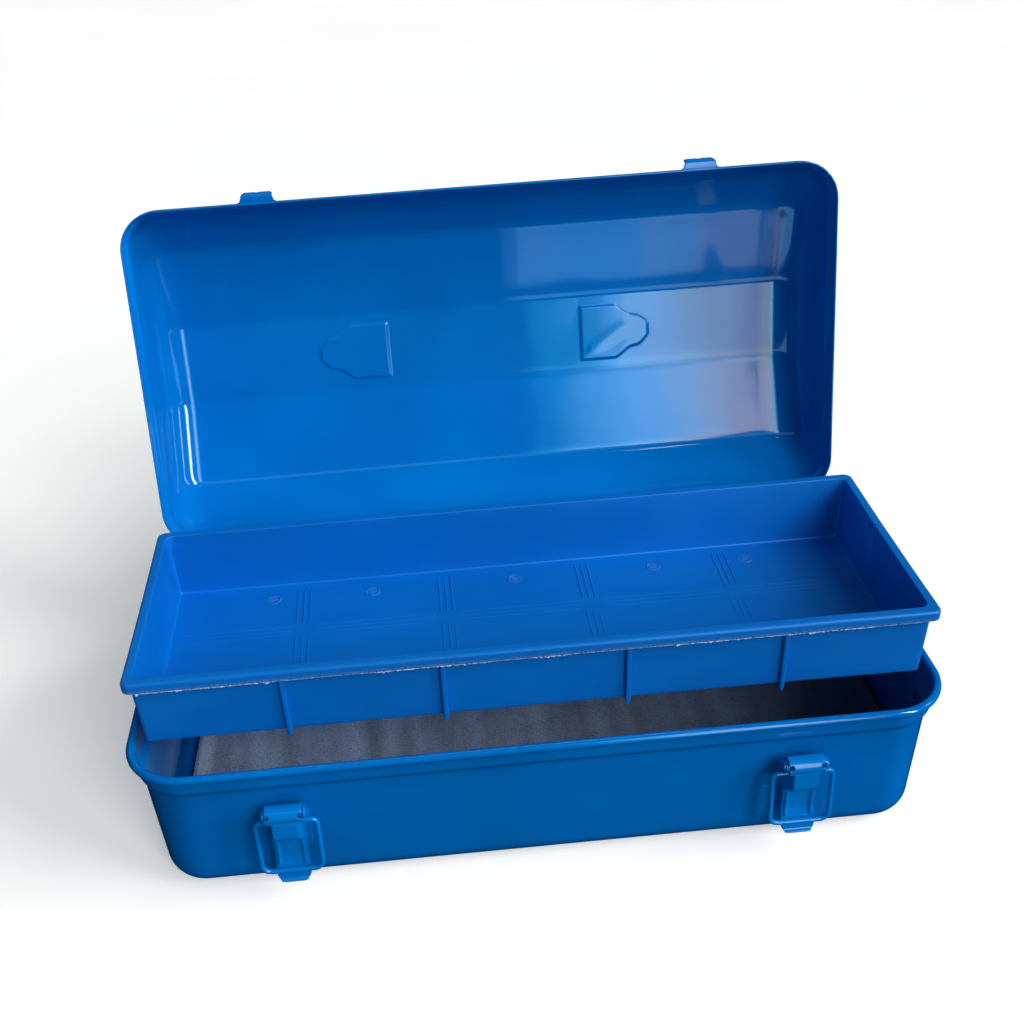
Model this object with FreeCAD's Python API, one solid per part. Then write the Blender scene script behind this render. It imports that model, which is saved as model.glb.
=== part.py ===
import FreeCAD, Part
import math
import os
from FreeCAD import Vector as V, Placement, Rotation

# Pressed-steel portable tool box with a hip-roof lid, a lift-out plastic tray,
# two draw latches, two rear butt hinges and a folding carrying handle.
# Millimetres. Origin: centre of the flat bottom, on the surface it stands on.
# +X to the right as seen from the front, +Y to the back, +Z up.
# The lid stands open and the tray is raised, which is the rest pose.

os.makedirs("parts", exist_ok=True)

# ------------------------------------------------------------- dimensions
SHEET = 0.8                 # steel sheet of the base and the lid

# base, measured over its rolled rim
BASE_W, BASE_D, BASE_H = 355.4, 172.4, 73.8
BASE_CORNER = 27.0          # plan radius over the rolled rim
RIM_R = 1.9                 # rolled rim, outer radius of the curl
LEDGE_TOP, LEDGE_LOW = 62.4, 60.2   # step in the wall that carries the tray
LEDGE_IN = 2.0
WALL_DRAFT = 2.0            # inset of the wall from the ledge to the bottom bend
BOTTOM_BEND = 12.0

# lid, measured over its skirt, in its closed frame
LID_W, LID_D = 360.0, 177.0
SKIRT_STEP_LOW, SKIRT_STEP_TOP = 4.45, 6.65   # heights of the joggle in the skirt
SKIRT_IN = 2.1
ROOF_R = 17.0               # inside radius of every bend of the roof
ROOF = [(85.6, 17.0), (64.4, 35.7), (21.6, 48.0)]  # inside bend lines: half depth, height
LID_OPEN_DEG = 102.42
HINGE_Y, HINGE_Z = 91.0, 70.19
LID_CLOSED_Z = 67.08        # lower edge of the skirt when shut

# embossed seats of the handle brackets
SEAT = [(53.6, -14.7), (72.8, -14.7), (80.3, -9.2), (86.2, -7.8), (90.6, -3.2),
        (90.6, 3.2), (86.2, 7.8), (80.3, 9.2), (72.8, 14.7), (53.6, 14.7)]
SEAT_DEPTH = 0.9

# handle
HANDLE_PIVOT_UP = 8.0       # pivot above the flat of the lid
HANDLE_REACH = 34.0
HANDLE_LEG_X = 53.2         # outer face of a leg
HANDLE_T, HANDLE_WIDE = 2.0, 13.0

# tray
TRAY_W, TRAY_D, TRAY_H = 345.4, 115.0, 35.5
TRAY_Y = -8.5
TRAY_TOP = 109.85           # rim height in the rest pose
TRAY_DROP = 43.2            # from the rest pose to the ledge
TRAY_WALL, TRAY_RIM, TRAY_LIP = 1.6, 2.9, 5.0
TRAY_RIBS = (-107.0, -39.5, 39.5, 107.0)
TRAY_LINES = (-104.0, -34.5, 34.5, 104.0)   # fine lines moulded across the floor
TRAY_CROSS = 13.5           # the line along the floor, from its middle

# latches and strikes
LATCH_X = 111.0
WALL_LEAN = math.degrees(math.atan(WALL_DRAFT / (LEDGE_LOW - BOTTOM_BEND)))
PIVOT_W, PIVOT_Z = 8.2, 53.6       # lever pivot: distance from the wall, height
BAIL_W, BAIL_Z = 6.8, 47.4         # bail pivot on the lever
BAIL_LOW_W, BAIL_LOW_Z = 9.5, 19.6 # middle of the bail's bottom run
WIRE = 2.3
BAIL_HALF = 13.1
BAIL_END = 5.7                     # half distance between the bail's two ends
LEVER_HALF = 7.9
LEVER_T = 0.9
PAD = 0.43                         # latch frame's distance off the wall

# hinges
HINGE_X = 105.0
HINGE_LEN = 34.0
KNUCKLE_R, PIN_R, PIN_BORE_R = 2.2, 1.0, 1.05

# floor liner
LINER_T = 2.0
LINER_CLIMB = 17.0          # height of the straight run up the right end wall


# ---------------------------------------------------------------- helpers
def save(name, shape):
    if not shape.isValid():
        print("INVALID", name)
    solids = shape.Solids
    if shape.ShapeType != "Solid":
        shape = solids[0] if len(solids) == 1 else Part.makeCompound(solids)
    shape.exportStep("parts/%s.step" % name)
    bb = shape.BoundBox
    print("%-24s solids %d vol %9.1f  x %7.1f %7.1f  y %7.1f %7.1f  z %7.1f %7.1f" % (
        name, len(solids), shape.Volume, bb.XMin, bb.XMax, bb.YMin, bb.YMax, bb.ZMin, bb.ZMax))


def line(a, b):
    return Part.LineSegment(V(*a), V(*b)).toShape()


def arc3(c, r, a0, a1):
    """Arc in the XZ plane from angle a0 to a1 in degrees, either way round."""
    p = [V(c[0] + r * math.cos(math.radians(a)), 0, c[1] + r * math.sin(math.radians(a)))
         for a in (a0, (a0 + a1) / 2.0, a1)]
    return Part.Arc(*p).toShape()


def face_xz(edges):
    return Part.Face(Part.Wire(Part.__sortEdges__(edges)))


def poly(points, plane, at=0.0):
    """Closed face through 2D points: plane xy, xz or yz at the third coordinate."""
    if plane == "xy":
        p = [V(a, b, at) for a, b in points]
    elif plane == "xz":
        p = [V(a, at, b) for a, b in points]
    else:
        p = [V(at, a, b) for a, b in points]
    return Part.Face(Part.makePolygon(p + [p[0]]))


def moved(shape, x=0, y=0, z=0):
    s = shape.copy()
    s.translate(V(x, y, z))
    return s


def turned(shape, deg, axis, at=(0, 0, 0)):
    s = shape.copy()
    s.rotate(V(*at), V(*axis), deg)
    return s


def mirrored(shape):
    return shape.mirror(V(0, 0, 0), V(1, 0, 0))


def ring(profile, hx, hy):
    """A wall of constant section round a rectangle with rounded corners.
    profile: face in the XZ plane, x measured outward from the corner centres;
    hx, hy: the corner centres."""
    bits = []
    for sx, sy, a in ((1, 1, 0), (-1, 1, 90), (-1, -1, 180), (1, -1, 270)):
        f = turned(profile, a, (0, 0, 1))
        f.translate(V(sx * hx, sy * hy, 0))
        bits.append(f.revolve(V(sx * hx, sy * hy, 0), V(0, 0, 1), 90))
    bits.append(moved(profile, hx, -hy).extrude(V(0, 2 * hy, 0)))
    bits.append(moved(turned(profile, 180, (0, 0, 1)), -hx, -hy).extrude(V(0, 2 * hy, 0)))
    bits.append(moved(turned(profile, 90, (0, 0, 1)), -hx, hy).extrude(V(2 * hx, 0, 0)))
    bits.append(moved(turned(profile, 270, (0, 0, 1)), -hx, -hy).extrude(V(2 * hx, 0, 0)))
    return bits


def fused(bits):
    s = bits[0].fuse(bits[1:]) if len(bits) > 1 else bits[0]
    s = s.removeSplitter()
    return s.Solids[0] if len(s.Solids) == 1 else s


def rounded_path(points, radii):
    """Wire of straight runs joined by tangent arcs through 3D points."""
    edges = []
    pts = [V(*p) for p in points]
    last = pts[0]
    for i in range(1, len(pts) - 1):
        p, a, b = pts[i], (pts[i - 1] - pts[i]).normalize(), (pts[i + 1] - pts[i]).normalize()
        half = a.getAngle(b) / 2.0
        cut = radii[i - 1] / math.tan(half)
        t0, t1 = p + a * cut, p + b * cut
        mid = p + (a + b).normalize() * (radii[i - 1] / math.sin(half) - radii[i - 1])
        edges += [Part.LineSegment(last, t0).toShape(), Part.Arc(t0, mid, t1).toShape()]
        last = t1
    edges.append(Part.LineSegment(last, pts[-1]).toShape())
    return Part.Wire(edges)


def rod(points, radii, d):
    """Round wire along a rounded path, run by run, so that every face is exact."""
    wire = rounded_path(points, radii)
    bits = []
    for e in wire.Edges:
        p0, tan = e.valueAt(e.FirstParameter), e.tangentAt(e.FirstParameter)
        disc = Part.Face(Part.Wire(Part.makeCircle(d / 2.0, p0, tan)))
        if isinstance(e.Curve, (Part.Line, Part.LineSegment)):
            bits.append(disc.extrude(e.valueAt(e.LastParameter) - p0))
        else:
            c = e.Curve.Center
            ang = math.degrees(e.Length / e.Curve.Radius)
            axis = (p0 - c).cross(tan)
            bits.append(disc.revolve(c, axis, ang))
    return fused(bits)


# ------------------------------------------------------------------- base
HX, HY = BASE_W / 2 - BASE_CORNER, BASE_D / 2 - BASE_CORNER


def base_section(inset_top=True):
    r = BASE_CORNER
    cc = r - RIM_R                                   # centre of the curl
    wi = cc - RIM_R                                  # inside face of the upper band
    wo = wi + SHEET
    li, lo = wi - LEDGE_IN, wo - LEDGE_IN            # below the ledge
    bi, bo = li - WALL_DRAFT, lo - WALL_DRAFT        # at the top of the bottom bend
    fx = bo - BOTTOM_BEND                            # centre of the bottom bend
    zc = BASE_H - RIM_R
    ri = RIM_R - SHEET
    end = -100.0
    e = [line((0, 0, 0), (fx, 0, 0)),
         arc3((fx, BOTTOM_BEND), BOTTOM_BEND, -90, 0),
         line((bo, 0, BOTTOM_BEND), (lo, 0, LEDGE_LOW + 0.3)),
         line((lo, 0, LEDGE_LOW + 0.3), (wo, 0, LEDGE_TOP + 0.3)),
         line((wo, 0, LEDGE_TOP + 0.3), (wo, 0, zc)),
         arc3((cc, zc), ri, 180, end),
         line((cc + ri * math.cos(math.radians(end)), 0, zc + ri * math.sin(math.radians(end))),
              (cc + RIM_R * math.cos(math.radians(end)), 0, zc + RIM_R * math.sin(math.radians(end)))),
         arc3((cc, zc), RIM_R, end, 180),
         line((wi, 0, zc), (wi, 0, LEDGE_TOP)),
         line((wi, 0, LEDGE_TOP), (li, 0, LEDGE_LOW)),
         line((li, 0, LEDGE_LOW), (bi, 0, BOTTOM_BEND)),
         arc3((fx, BOTTOM_BEND), BOTTOM_BEND - SHEET, 0, -90),
         line((fx, 0, SHEET), (0, 0, SHEET)),
         line((0, 0, SHEET), (0, 0, 0))]
    return face_xz(e)


floor_plate = Part.makeBox(2 * HX, 2 * HY, SHEET, V(-HX, -HY, 0))
base_shell = fused(ring(base_section(), HX, HY) + [floor_plate])
save("base_shell", base_shell)

WALL_TOP_Y = BASE_D / 2 - 2 * RIM_R + SHEET - LEDGE_IN   # outer face of the wall just under the ledge


def wall_y(z):
    """Outer face of the front or back wall below the ledge, as a half depth."""
    return WALL_TOP_Y - WALL_DRAFT * (LEDGE_LOW + 0.3 - z) / (LEDGE_LOW + 0.3 - BOTTOM_BEND)


# ------------------------------------------------------------ floor liner
# one soft sheet, a little longer than the floor, that turns up at both ends
def liner():
    y0, y1 = -66.0, 66.0
    z0 = SHEET + 0.3
    right, left = 156.0, -156.0
    r = 9.0
    e = [line((left, 0, z0), (right, 0, z0)),
         arc3((right, z0 + r + LINER_T), r + LINER_T, -90, -8)]
    a = math.radians(-8)
    pr = (right + (r + LINER_T) * math.cos(a), z0 + r + LINER_T + (r + LINER_T) * math.sin(a))
    qr = (right + r * math.cos(a), z0 + r + LINER_T + r * math.sin(a))
    up = (0.14 * LINER_CLIMB, LINER_CLIMB)
    e += [line((pr[0], 0, pr[1]), (pr[0] + up[0], 0, pr[1] + up[1])),
          line((pr[0] + up[0], 0, pr[1] + up[1]), (qr[0] + up[0], 0, qr[1] + up[1])),
          line((qr[0] + up[0], 0, qr[1] + up[1]), (qr[0], 0, qr[1])),
          arc3((right, z0 + r + LINER_T), r, -8, -90)]
    b = -145.0
    pl = (left + (r + LINER_T) * math.cos(math.radians(b - 20)), z0 + r + LINER_T + (r + LINER_T) * math.sin(math.radians(b - 20)))
    ql = (left + r * math.cos(math.radians(b - 20)), z0 + r + LINER_T + r * math.sin(math.radians(b - 20)))
    e += [line((right, 0, z0 + LINER_T), (left, 0, z0 + LINER_T)),
          arc3((left, z0 + r + LINER_T), r, -90, b - 20),
          line((ql[0], 0, ql[1]), (pl[0], 0, pl[1])),
          arc3((left, z0 + r + LINER_T), r + LINER_T, b - 20, -90)]
    return moved(face_xz(e), 0, y0, 0).extrude(V(0, y1 - y0, 0))


save("floor_liner", liner())

# -------------------------------------------------------------------- lid
# modelled shut about its own middle, with its skirt's lower edge at z = 0
CX, CY = LID_W / 2 - SHEET - SKIRT_IN - ROOF_R, LID_D / 2 - SHEET - SKIRT_IN - ROOF_R


def roof_core():
    """Prism whose outward offset by the bend radius gives the inside of the lid."""
    lines = [((ROOF[0][0], 0.0), ROOF[0]), (ROOF[0], ROOF[1]), (ROOF[1], ROOF[2]),
             (ROOF[2], (-ROOF[2][0], ROOF[2][1]))]
    o = []
    for (x0, y0), (x1, y1) in lines:
        n = math.hypot(x1 - x0, y1 - y0)
        nx, ny = (y1 - y0) / n, -(x1 - x0) / n
        o.append(((x0 - nx * ROOF_R, y0 - ny * ROOF_R), (x1 - nx * ROOF_R, y1 - ny * ROOF_R)))
    pts = [(CY, -60.0)]
    for a, b in zip(o, o[1:]):
        (x1, y1), (x2, y2) = a
        (x3, y3), (x4, y4) = b
        d = (x1 - x2) * (y3 - y4) - (y1 - y2) * (x3 - x4)
        pts.append((((x1 * y2 - y1 * x2) * (x3 - x4) - (x1 - x2) * (x3 * y4 - y3 * x4)) / d,
                    ((x1 * y2 - y1 * x2) * (y3 - y4) - (y1 - y2) * (x3 * y4 - y3 * x4)) / d))
    pts += [(-a, b) for a, b in reversed(pts)]
    return poly(pts, "yz", -CX).extrude(V(2 * CX, 0, 0))


core = roof_core()


def roof(r):
    return core.makeOffsetShape(r, 0.001, inter=False, self_inter=False, offsetMode=0, join=0)


JOIN_Z = SKIRT_STEP_TOP + 0.8
above = Part.makeBox(500, 300, 100, V(-250, -150, JOIN_Z))
roof_in, roof_out = roof(ROOF_R), roof(ROOF_R + SHEET)
roof_shell = roof_out.cut(roof_in).common(above)

so = ROOF_R + SHEET + SKIRT_IN
k = 0.25
skirt = face_xz([
    line((so, 0, 0), (so, 0, SKIRT_STEP_LOW + k)),
    line((so, 0, SKIRT_STEP_LOW + k), (ROOF_R + SHEET, 0, SKIRT_STEP_TOP + k)),
    line((ROOF_R + SHEET, 0, SKIRT_STEP_TOP + k), (ROOF_R + SHEET, 0, JOIN_Z)),
    line((ROOF_R + SHEET, 0, JOIN_Z), (ROOF_R, 0, JOIN_Z)),
    line((ROOF_R, 0, JOIN_Z), (ROOF_R, 0, SKIRT_STEP_TOP)),
    line((ROOF_R, 0, SKIRT_STEP_TOP), (so - SHEET, 0, SKIRT_STEP_LOW)),
    line((so - SHEET, 0, SKIRT_STEP_LOW), (so - SHEET, 0, 0)),
    line((so - SHEET, 0, 0), (so, 0, 0))])
lid = fused(ring(skirt, CX, CY) + [roof_shell])

FLAT = ROOF[2][1]           # inside of the flat of the roof


def seat_prism(grow, z0, z1, side, r=2.0):
    w = Part.Wire(Part.makePolygon([V(a * side, b, z0) for a, b in SEAT + [SEAT[0]]]))
    if abs(grow) > 1e-9:
        w = w.makeOffset2D(grow, join=2)
    s = Part.Face(w).extrude(V(0, 0, z1 - z0))
    upright = [e for e in s.Edges if abs(e.tangentAt(e.FirstParameter).z) > 0.99]
    return s.makeFillet(r, upright)


for side in (1, -1):
    bump = seat_prism(SHEET, FLAT - SEAT_DEPTH, FLAT + 0.02, side, 2.6)
    low = [e for e in bump.Edges if abs(e.BoundBox.ZMax - (FLAT - SEAT_DEPTH)) < 1e-6]
    bump = bump.makeChamfer(0.6, low)
    lid = lid.fuse(bump)
for side in (1, -1):
    lid = lid.cut(seat_prism(0, FLAT + SHEET - SEAT_DEPTH, FLAT + SHEET + 1, side))
lid = lid.removeSplitter()
lid_shut = lid.Solids[0]


# the lid and all it carries: shut frame, then open about the hinge
def to_shut(s):
    return moved(s, 0, 0, LID_CLOSED_Z)


def to_open(s):
    return turned(s, -LID_OPEN_DEG, (1, 0, 0), (0, HINGE_Y, HINGE_Z))


def put_lid(name, s):
    save(name, to_open(to_shut(s)))


put_lid("lid_shell", lid_shut)

# ----------------------------------------------------------------- hinges
# heights in the shut frame of the whole box
leaf_t = 1.0
ky, kz = HINGE_Y - KNUCKLE_R + leaf_t / 2, HINGE_Z
KN = 8.0                     # outer knuckles, length


def knuckle(x0, x1):
    s = Part.makeCylinder(KNUCKLE_R, x1 - x0, V(x0, HINGE_Y, HINGE_Z), V(1, 0, 0))
    return s.cut(Part.makeCylinder(PIN_BORE_R, x1 - x0 + 2, V(x0 - 1, HINGE_Y, HINGE_Z), V(1, 0, 0)))


def base_leaf(cx):
    x0, x1 = cx - HINGE_LEN / 2, cx + HINGE_LEN / 2
    zb, zs, zw = 36.0, 64.0, 56.8
    wi = lambda z: wall_y(z)
    sect = [(ky - leaf_t / 2, HINGE_Z), (ky - leaf_t / 2, zs + 0.2), (wi(zw), zw), (wi(zb), zb),
            (wi(zb) + leaf_t, zb), (wi(zw) + leaf_t, zw - 0.3), (ky + leaf_t / 2, zs - 0.4),
            (ky + leaf_t / 2, HINGE_Z)]
    leaf = poly(sect, "yz", x0).extrude(V(x1 - x0, 0, 0))
    # between the outer knuckles the leaf is cut away for the middle one
    gap = Part.makeBox(HINGE_LEN - 2 * KN + 0.6, 20, 20, V(cx - HINGE_LEN / 2 + KN - 0.3, 80, zs + 1.4))
    leaf = leaf.cut(gap)
    leaf = leaf.cut(Part.makeCylinder(PIN_BORE_R, HINGE_LEN + 2, V(x0 - 1, HINGE_Y, HINGE_Z), V(1, 0, 0)))
    low = [e for e in leaf.Edges if e.BoundBox.XLength < 1e-6 and e.BoundBox.ZMax < zb + 0.01]
    leaf = leaf.makeFillet(5.0, low)
    return fused([leaf, knuckle(x0, x0 + KN), knuckle(x1 - KN, x1)])


def lid_leaf(cx):
    """Middle knuckle, web and a plate that follows the bend of the lid's back wall."""
    half = HINGE_LEN / 2
    m0, m1 = cx - half + KN + 0.3, cx + half - KN - 0.3
    z0, z1 = 9.2, 24.0
    plate = roof(ROOF_R + SHEET + leaf_t).cut(roof(ROOF_R + SHEET)).common(
        Part.makeBox(HINGE_LEN, 60, z1 - z0, V(cx - half, 40, z0)))
    plate = moved(plate, 0, 0, LID_CLOSED_Z)
    zl = LID_CLOSED_Z
    yw = LID_D / 2 - SKIRT_IN                # outer face of the wall above the joggle
    sect = [(ky - leaf_t / 2, HINGE_Z), (ky - leaf_t / 2, zl + 6.9), (yw, zl + 9.6), (yw, zl + 10.6),
            (yw + leaf_t, zl + 10.6), (yw + leaf_t, zl + 9.9), (ky + leaf_t / 2, zl + 7.2), (ky + leaf_t / 2, HINGE_Z)]
    web = poly(sect, "yz", m0).extrude(V(m1 - m0, 0, 0))
    web = web.cut(Part.makeCylinder(PIN_BORE_R, HINGE_LEN + 2, V(cx - half - 1, HINGE_Y, HINGE_Z), V(1, 0, 0)))
    s = fused([plate, web, knuckle(m0, m1)])
    return s.cut(to_shut(roof_out))


for nm, cx in (("left", -HINGE_X), ("right", HINGE_X)):
    bl = base_leaf(cx).cut(base_shell)
    save("%s_hinge_base_leaf" % nm, bl)
    save("%s_hinge_lid_leaf" % nm, to_open(lid_leaf(cx)))
    pin = Part.makeCylinder(PIN_R, HINGE_LEN + 1.0, V(cx - HINGE_LEN / 2 - 0.5, HINGE_Y, HINGE_Z), V(1, 0, 0))
    heads = [Part.makeCylinder(1.6, 0.5, V(cx + s * (HINGE_LEN / 2 + 0.15) + (0 if s > 0 else -0.5), HINGE_Y, HINGE_Z), V(1, 0, 0))
             for s in (1, -1)]
    save("%s_hinge_pin" % nm, fused([pin] + heads))


# ---------------------------------------------------------------- strikes
def strike(side):
    """Pressed hook on the front of the lid: a plate on the wall and a trough that opens upward."""
    half = 10.0
    plate = roof(ROOF_R + SHEET + 0.9).cut(roof(ROOF_R + SHEET)).common(
        Part.makeBox(2 * half, 60, 10.6, V(-half, -100, 7.0)))
    yw = LID_D / 2 - SKIRT_IN                # 86.4
    t = 0.9
    a, b = yw + t + 4.4, yw + t + 4.4 + t    # inside and outside of the outer lip
    z0 = 5.5
    ro, ri = 1.9, 1.0
    e = [line((yw, 0, z0), (b - ro, 0, z0)), arc3((b - ro, z0 + ro), ro, -90, 0),
         line((b, 0, z0 + ro), (b, 0, 9.6)), line((b, 0, 9.6), (b + 0.5, 0, 10.7)),
         line((b + 0.5, 0, 10.7), (a + 0.45, 0, 10.9)), line((a + 0.45, 0, 10.9), (a, 0, 9.8)),
         line((a, 0, 9.8), (a, 0, z0 + t + ri)), arc3((a - ri, z0 + t + ri), ri, 0, -90),
         line((a - ri, 0, z0 + t), (yw + t, 0, z0 + t)), line((yw + t, 0, z0 + t), (yw + t, 0, 7.6)),
         line((yw + t, 0, 7.6), (yw, 0, 7.6)), line((yw, 0, 7.6), (yw, 0, z0))]
    hook = turned(face_xz(e), -90, (0, 0, 1))
    hook = moved(hook, -half, 0, 0).extrude(V(2 * half, 0, 0))
    # seen along the wall, a wide foot sweeps into a narrower front with round shoulders
    e = [line((-half, -yw + 1, 0), (half, -yw + 1, 0)), line((-5.5, -b - 0.6, 0), (5.5, -b - 0.6, 0))]
    for q in (1, -1):
        e += [line((q * half, -yw + 1, 0), (q * half, -yw - 2.0, 0)),
              Part.Arc(V(q * 10.0, -yw - 2.0, 0), V(q * 8.727, -yw - 2.527, 0), V(q * 8.2, -yw - 3.8, 0)).toShape(),
              line((q * 8.2, -yw - 3.8, 0), (q * 7.9, -b + 1.8, 0)),
              Part.Arc(V(q * 7.9, -b + 1.8, 0), V(q * 7.197, -b + 0.103, 0), V(q * 5.5, -b - 0.6, 0)).toShape()]
    trim = Part.Face(Part.Wire(Part.__sortEdges__(e))).extrude(V(0, 0, 30))
    s = fused([hook.common(trim), plate])
    # shallow groove down the middle of the front
    s = s.cut(Part.makeCylinder(3.0, 30, V(0, -b - 3.15, 0), V(0, 0, 1)))
    s = s.cut(lid_shut)
    s = max(s.Solids, key=lambda q: q.Volume)
    return moved(s, side * LATCH_X, 0, 0)


put_lid("left_strike", strike(-1))
put_lid("right_strike", strike(1))

# ----------------------------------------------------------------- handle
PZ = FLAT + SHEET + HANDLE_PIVOT_UP      # pivot height in the lid's frame
EAR_IN, EAR_T = HANDLE_LEG_X + 0.4, 1.2


def handle_bracket(side):
    seat_z = FLAT + SHEET - SEAT_DEPTH
    plate = seat_prism(-0.35, seat_z, seat_z + 1.1, side, 1.6)
    ear_half = 6.5
    e = Part.makeBox(EAR_T, 2 * ear_half, PZ - seat_z, V(0, -ear_half, seat_z))
    top = Part.makeCylinder(ear_half, EAR_T, V(0, 0, PZ), V(1, 0, 0))
    ear = fused([e, top]).cut(Part.makeCylinder(2.05, 5, V(-1, 0, PZ), V(1, 0, 0)))
    ear = moved(ear, EAR_IN + 0.4, 0, 0)
    gus = poly([(EAR_IN + 0.4 + EAR_T - 0.1, seat_z + 1.0), (EAR_IN + 4.6, seat_z + 1.0), (EAR_IN + 0.4 + EAR_T - 0.1, seat_z + 4.6)], "xz", -0.8).extrude(V(0, 1.6, 0))
    ear = fused([ear, gus])
    if side < 0:
        ear = mirrored(ear)
    return fused([plate, ear])


put_lid("left_handle_bracket", handle_bracket(-1))
put_lid("right_handle_bracket", handle_bracket(1))


def strap_solid():
    x, w, t = HANDLE_LEG_X, HANDLE_WIDE, HANDLE_T
    top = PZ + HANDLE_REACH + 1.0
    R = 11.0

    def half_outline(off):
        """Right half of the strap's side view at an offset from its outer face."""
        xo = x - off
        r = R - off
        return [line((xo, 0, PZ), (xo, 0, top - R)),
                arc3((x - R, top - R), r, 0, 90),
                line((x - R, 0, top - off), (-(x - R), 0, top - off)),
                arc3((-(x - R), top - R), r, 90, 180),
                line((-xo, 0, top - R), (-xo, 0, PZ))]

    f = face_xz(half_outline(0) + half_outline(t) + [
        line((x, 0, PZ), (x - t, 0, PZ)), line((-x, 0, PZ), (-x + t, 0, PZ))])
    body = moved(f, 0, -w / 2, 0).extrude(V(0, w, 0))
    # the grip's long edges are rolled inward for the hand
    rolls = [Part.makeCylinder(2.1, 2 * (x - R - 4), V(-(x - R - 4), s * (w / 2 - 2.1), top - 2.1), V(1, 0, 0)) for s in (1, -1)]
    rolls += [Part.makeSphere(2.1, V(sx * (x - R - 4), s * (w / 2 - 2.1), top - 2.1)) for s in (1, -1) for sx in (1, -1)]
    feet = []
    for s in (1, -1):
        c = Part.makeCylinder(w / 2, t, V(x - t if s > 0 else -x, 0, PZ), V(1, 0, 0))
        feet.append(c)
    s = fused([body] + feet + rolls)
    for sd in (1, -1):
        s = s.cut(Part.makeCylinder(2.0, t + 2, V(x - t - 1 if sd > 0 else -x - 1, 0, PZ), V(1, 0, 0)))
    return s


def handle_rivet(side):
    x = HANDLE_LEG_X
    ear_out = EAR_IN + 0.4 + EAR_T
    bits = [Part.makeCylinder(2.0, ear_out - x + HANDLE_T + 0.2, V(x - HANDLE_T, 0, PZ), V(1, 0, 0)),
            Part.makeCylinder(3.4, 1.3, V(x - HANDLE_T - 1.3, 0, PZ), V(1, 0, 0)),
            Part.makeCylinder(3.4, 1.2, V(ear_out + 0.2, 0, PZ), V(1, 0, 0))]
    s = fused(bits)
    rims = [e for e in s.Edges if hasattr(e.Curve, "Radius") and abs(e.Curve.Radius - 3.4) < 1e-6
            and (abs(e.BoundBox.XMin - (x - HANDLE_T - 1.3)) < 1e-3 or abs(e.BoundBox.XMin - (ear_out + 1.4)) < 1e-3)]
    s = s.makeFillet(0.7, rims)
    return s if side > 0 else mirrored(s)


# hanging plumb from its pivot while the lid stands open: turned from upright
# so that, in the world, the grip is straight below the pivot
def hang(s):
    shut = to_shut(s)
    pivot = (0, 0, LID_CLOSED_Z + PZ)
    # upright points up the closed lid's normal; it falls toward the hinge side
    shut = turned(shut, -(180.0 - LID_OPEN_DEG), (1, 0, 0), pivot)
    return to_open(shut)


save("carry_handle", hang(strap_solid()))
save("left_handle_rivet", hang(handle_rivet(-1)))
save("right_handle_rivet", hang(handle_rivet(1)))


# ------------------------------------------------------------------- tray
def box_at(x0, x1, y0, y1, z0, z1):
    return Part.makeBox(x1 - x0, y1 - y0, z1 - z0, V(x0, y0, z0))


def drafted(x, y, z_low, z_top, draft, r):
    """Block with drafted walls and rounded uprights, centred."""
    def ringwire(hx, hy, z, rr):
        e = []
        c = [(hx - rr, hy - rr, 0), (-hx + rr, hy - rr, 90), (-hx + rr, -hy + rr, 180), (hx - rr, -hy + rr, 270)]
        for i, (cx, cy, a) in enumerate(c):
            p = [V(cx + rr * math.cos(math.radians(t)), cy + rr * math.sin(math.radians(t)), z) for t in (a, a + 45, a + 90)]
            e.append(Part.Arc(*p).toShape())
            nx, ny, na = c[(i + 1) % 4]
            q = V(nx + rr * math.cos(math.radians(na)), ny + rr * math.sin(math.radians(na)), z)
            e.append(Part.LineSegment(p[2], q).toShape())
        return Part.Wire(e)
    return Part.makeLoft([ringwire(x - draft, y - draft, z_low, r), ringwire(x, y, z_top, r)], True, True)


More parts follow.
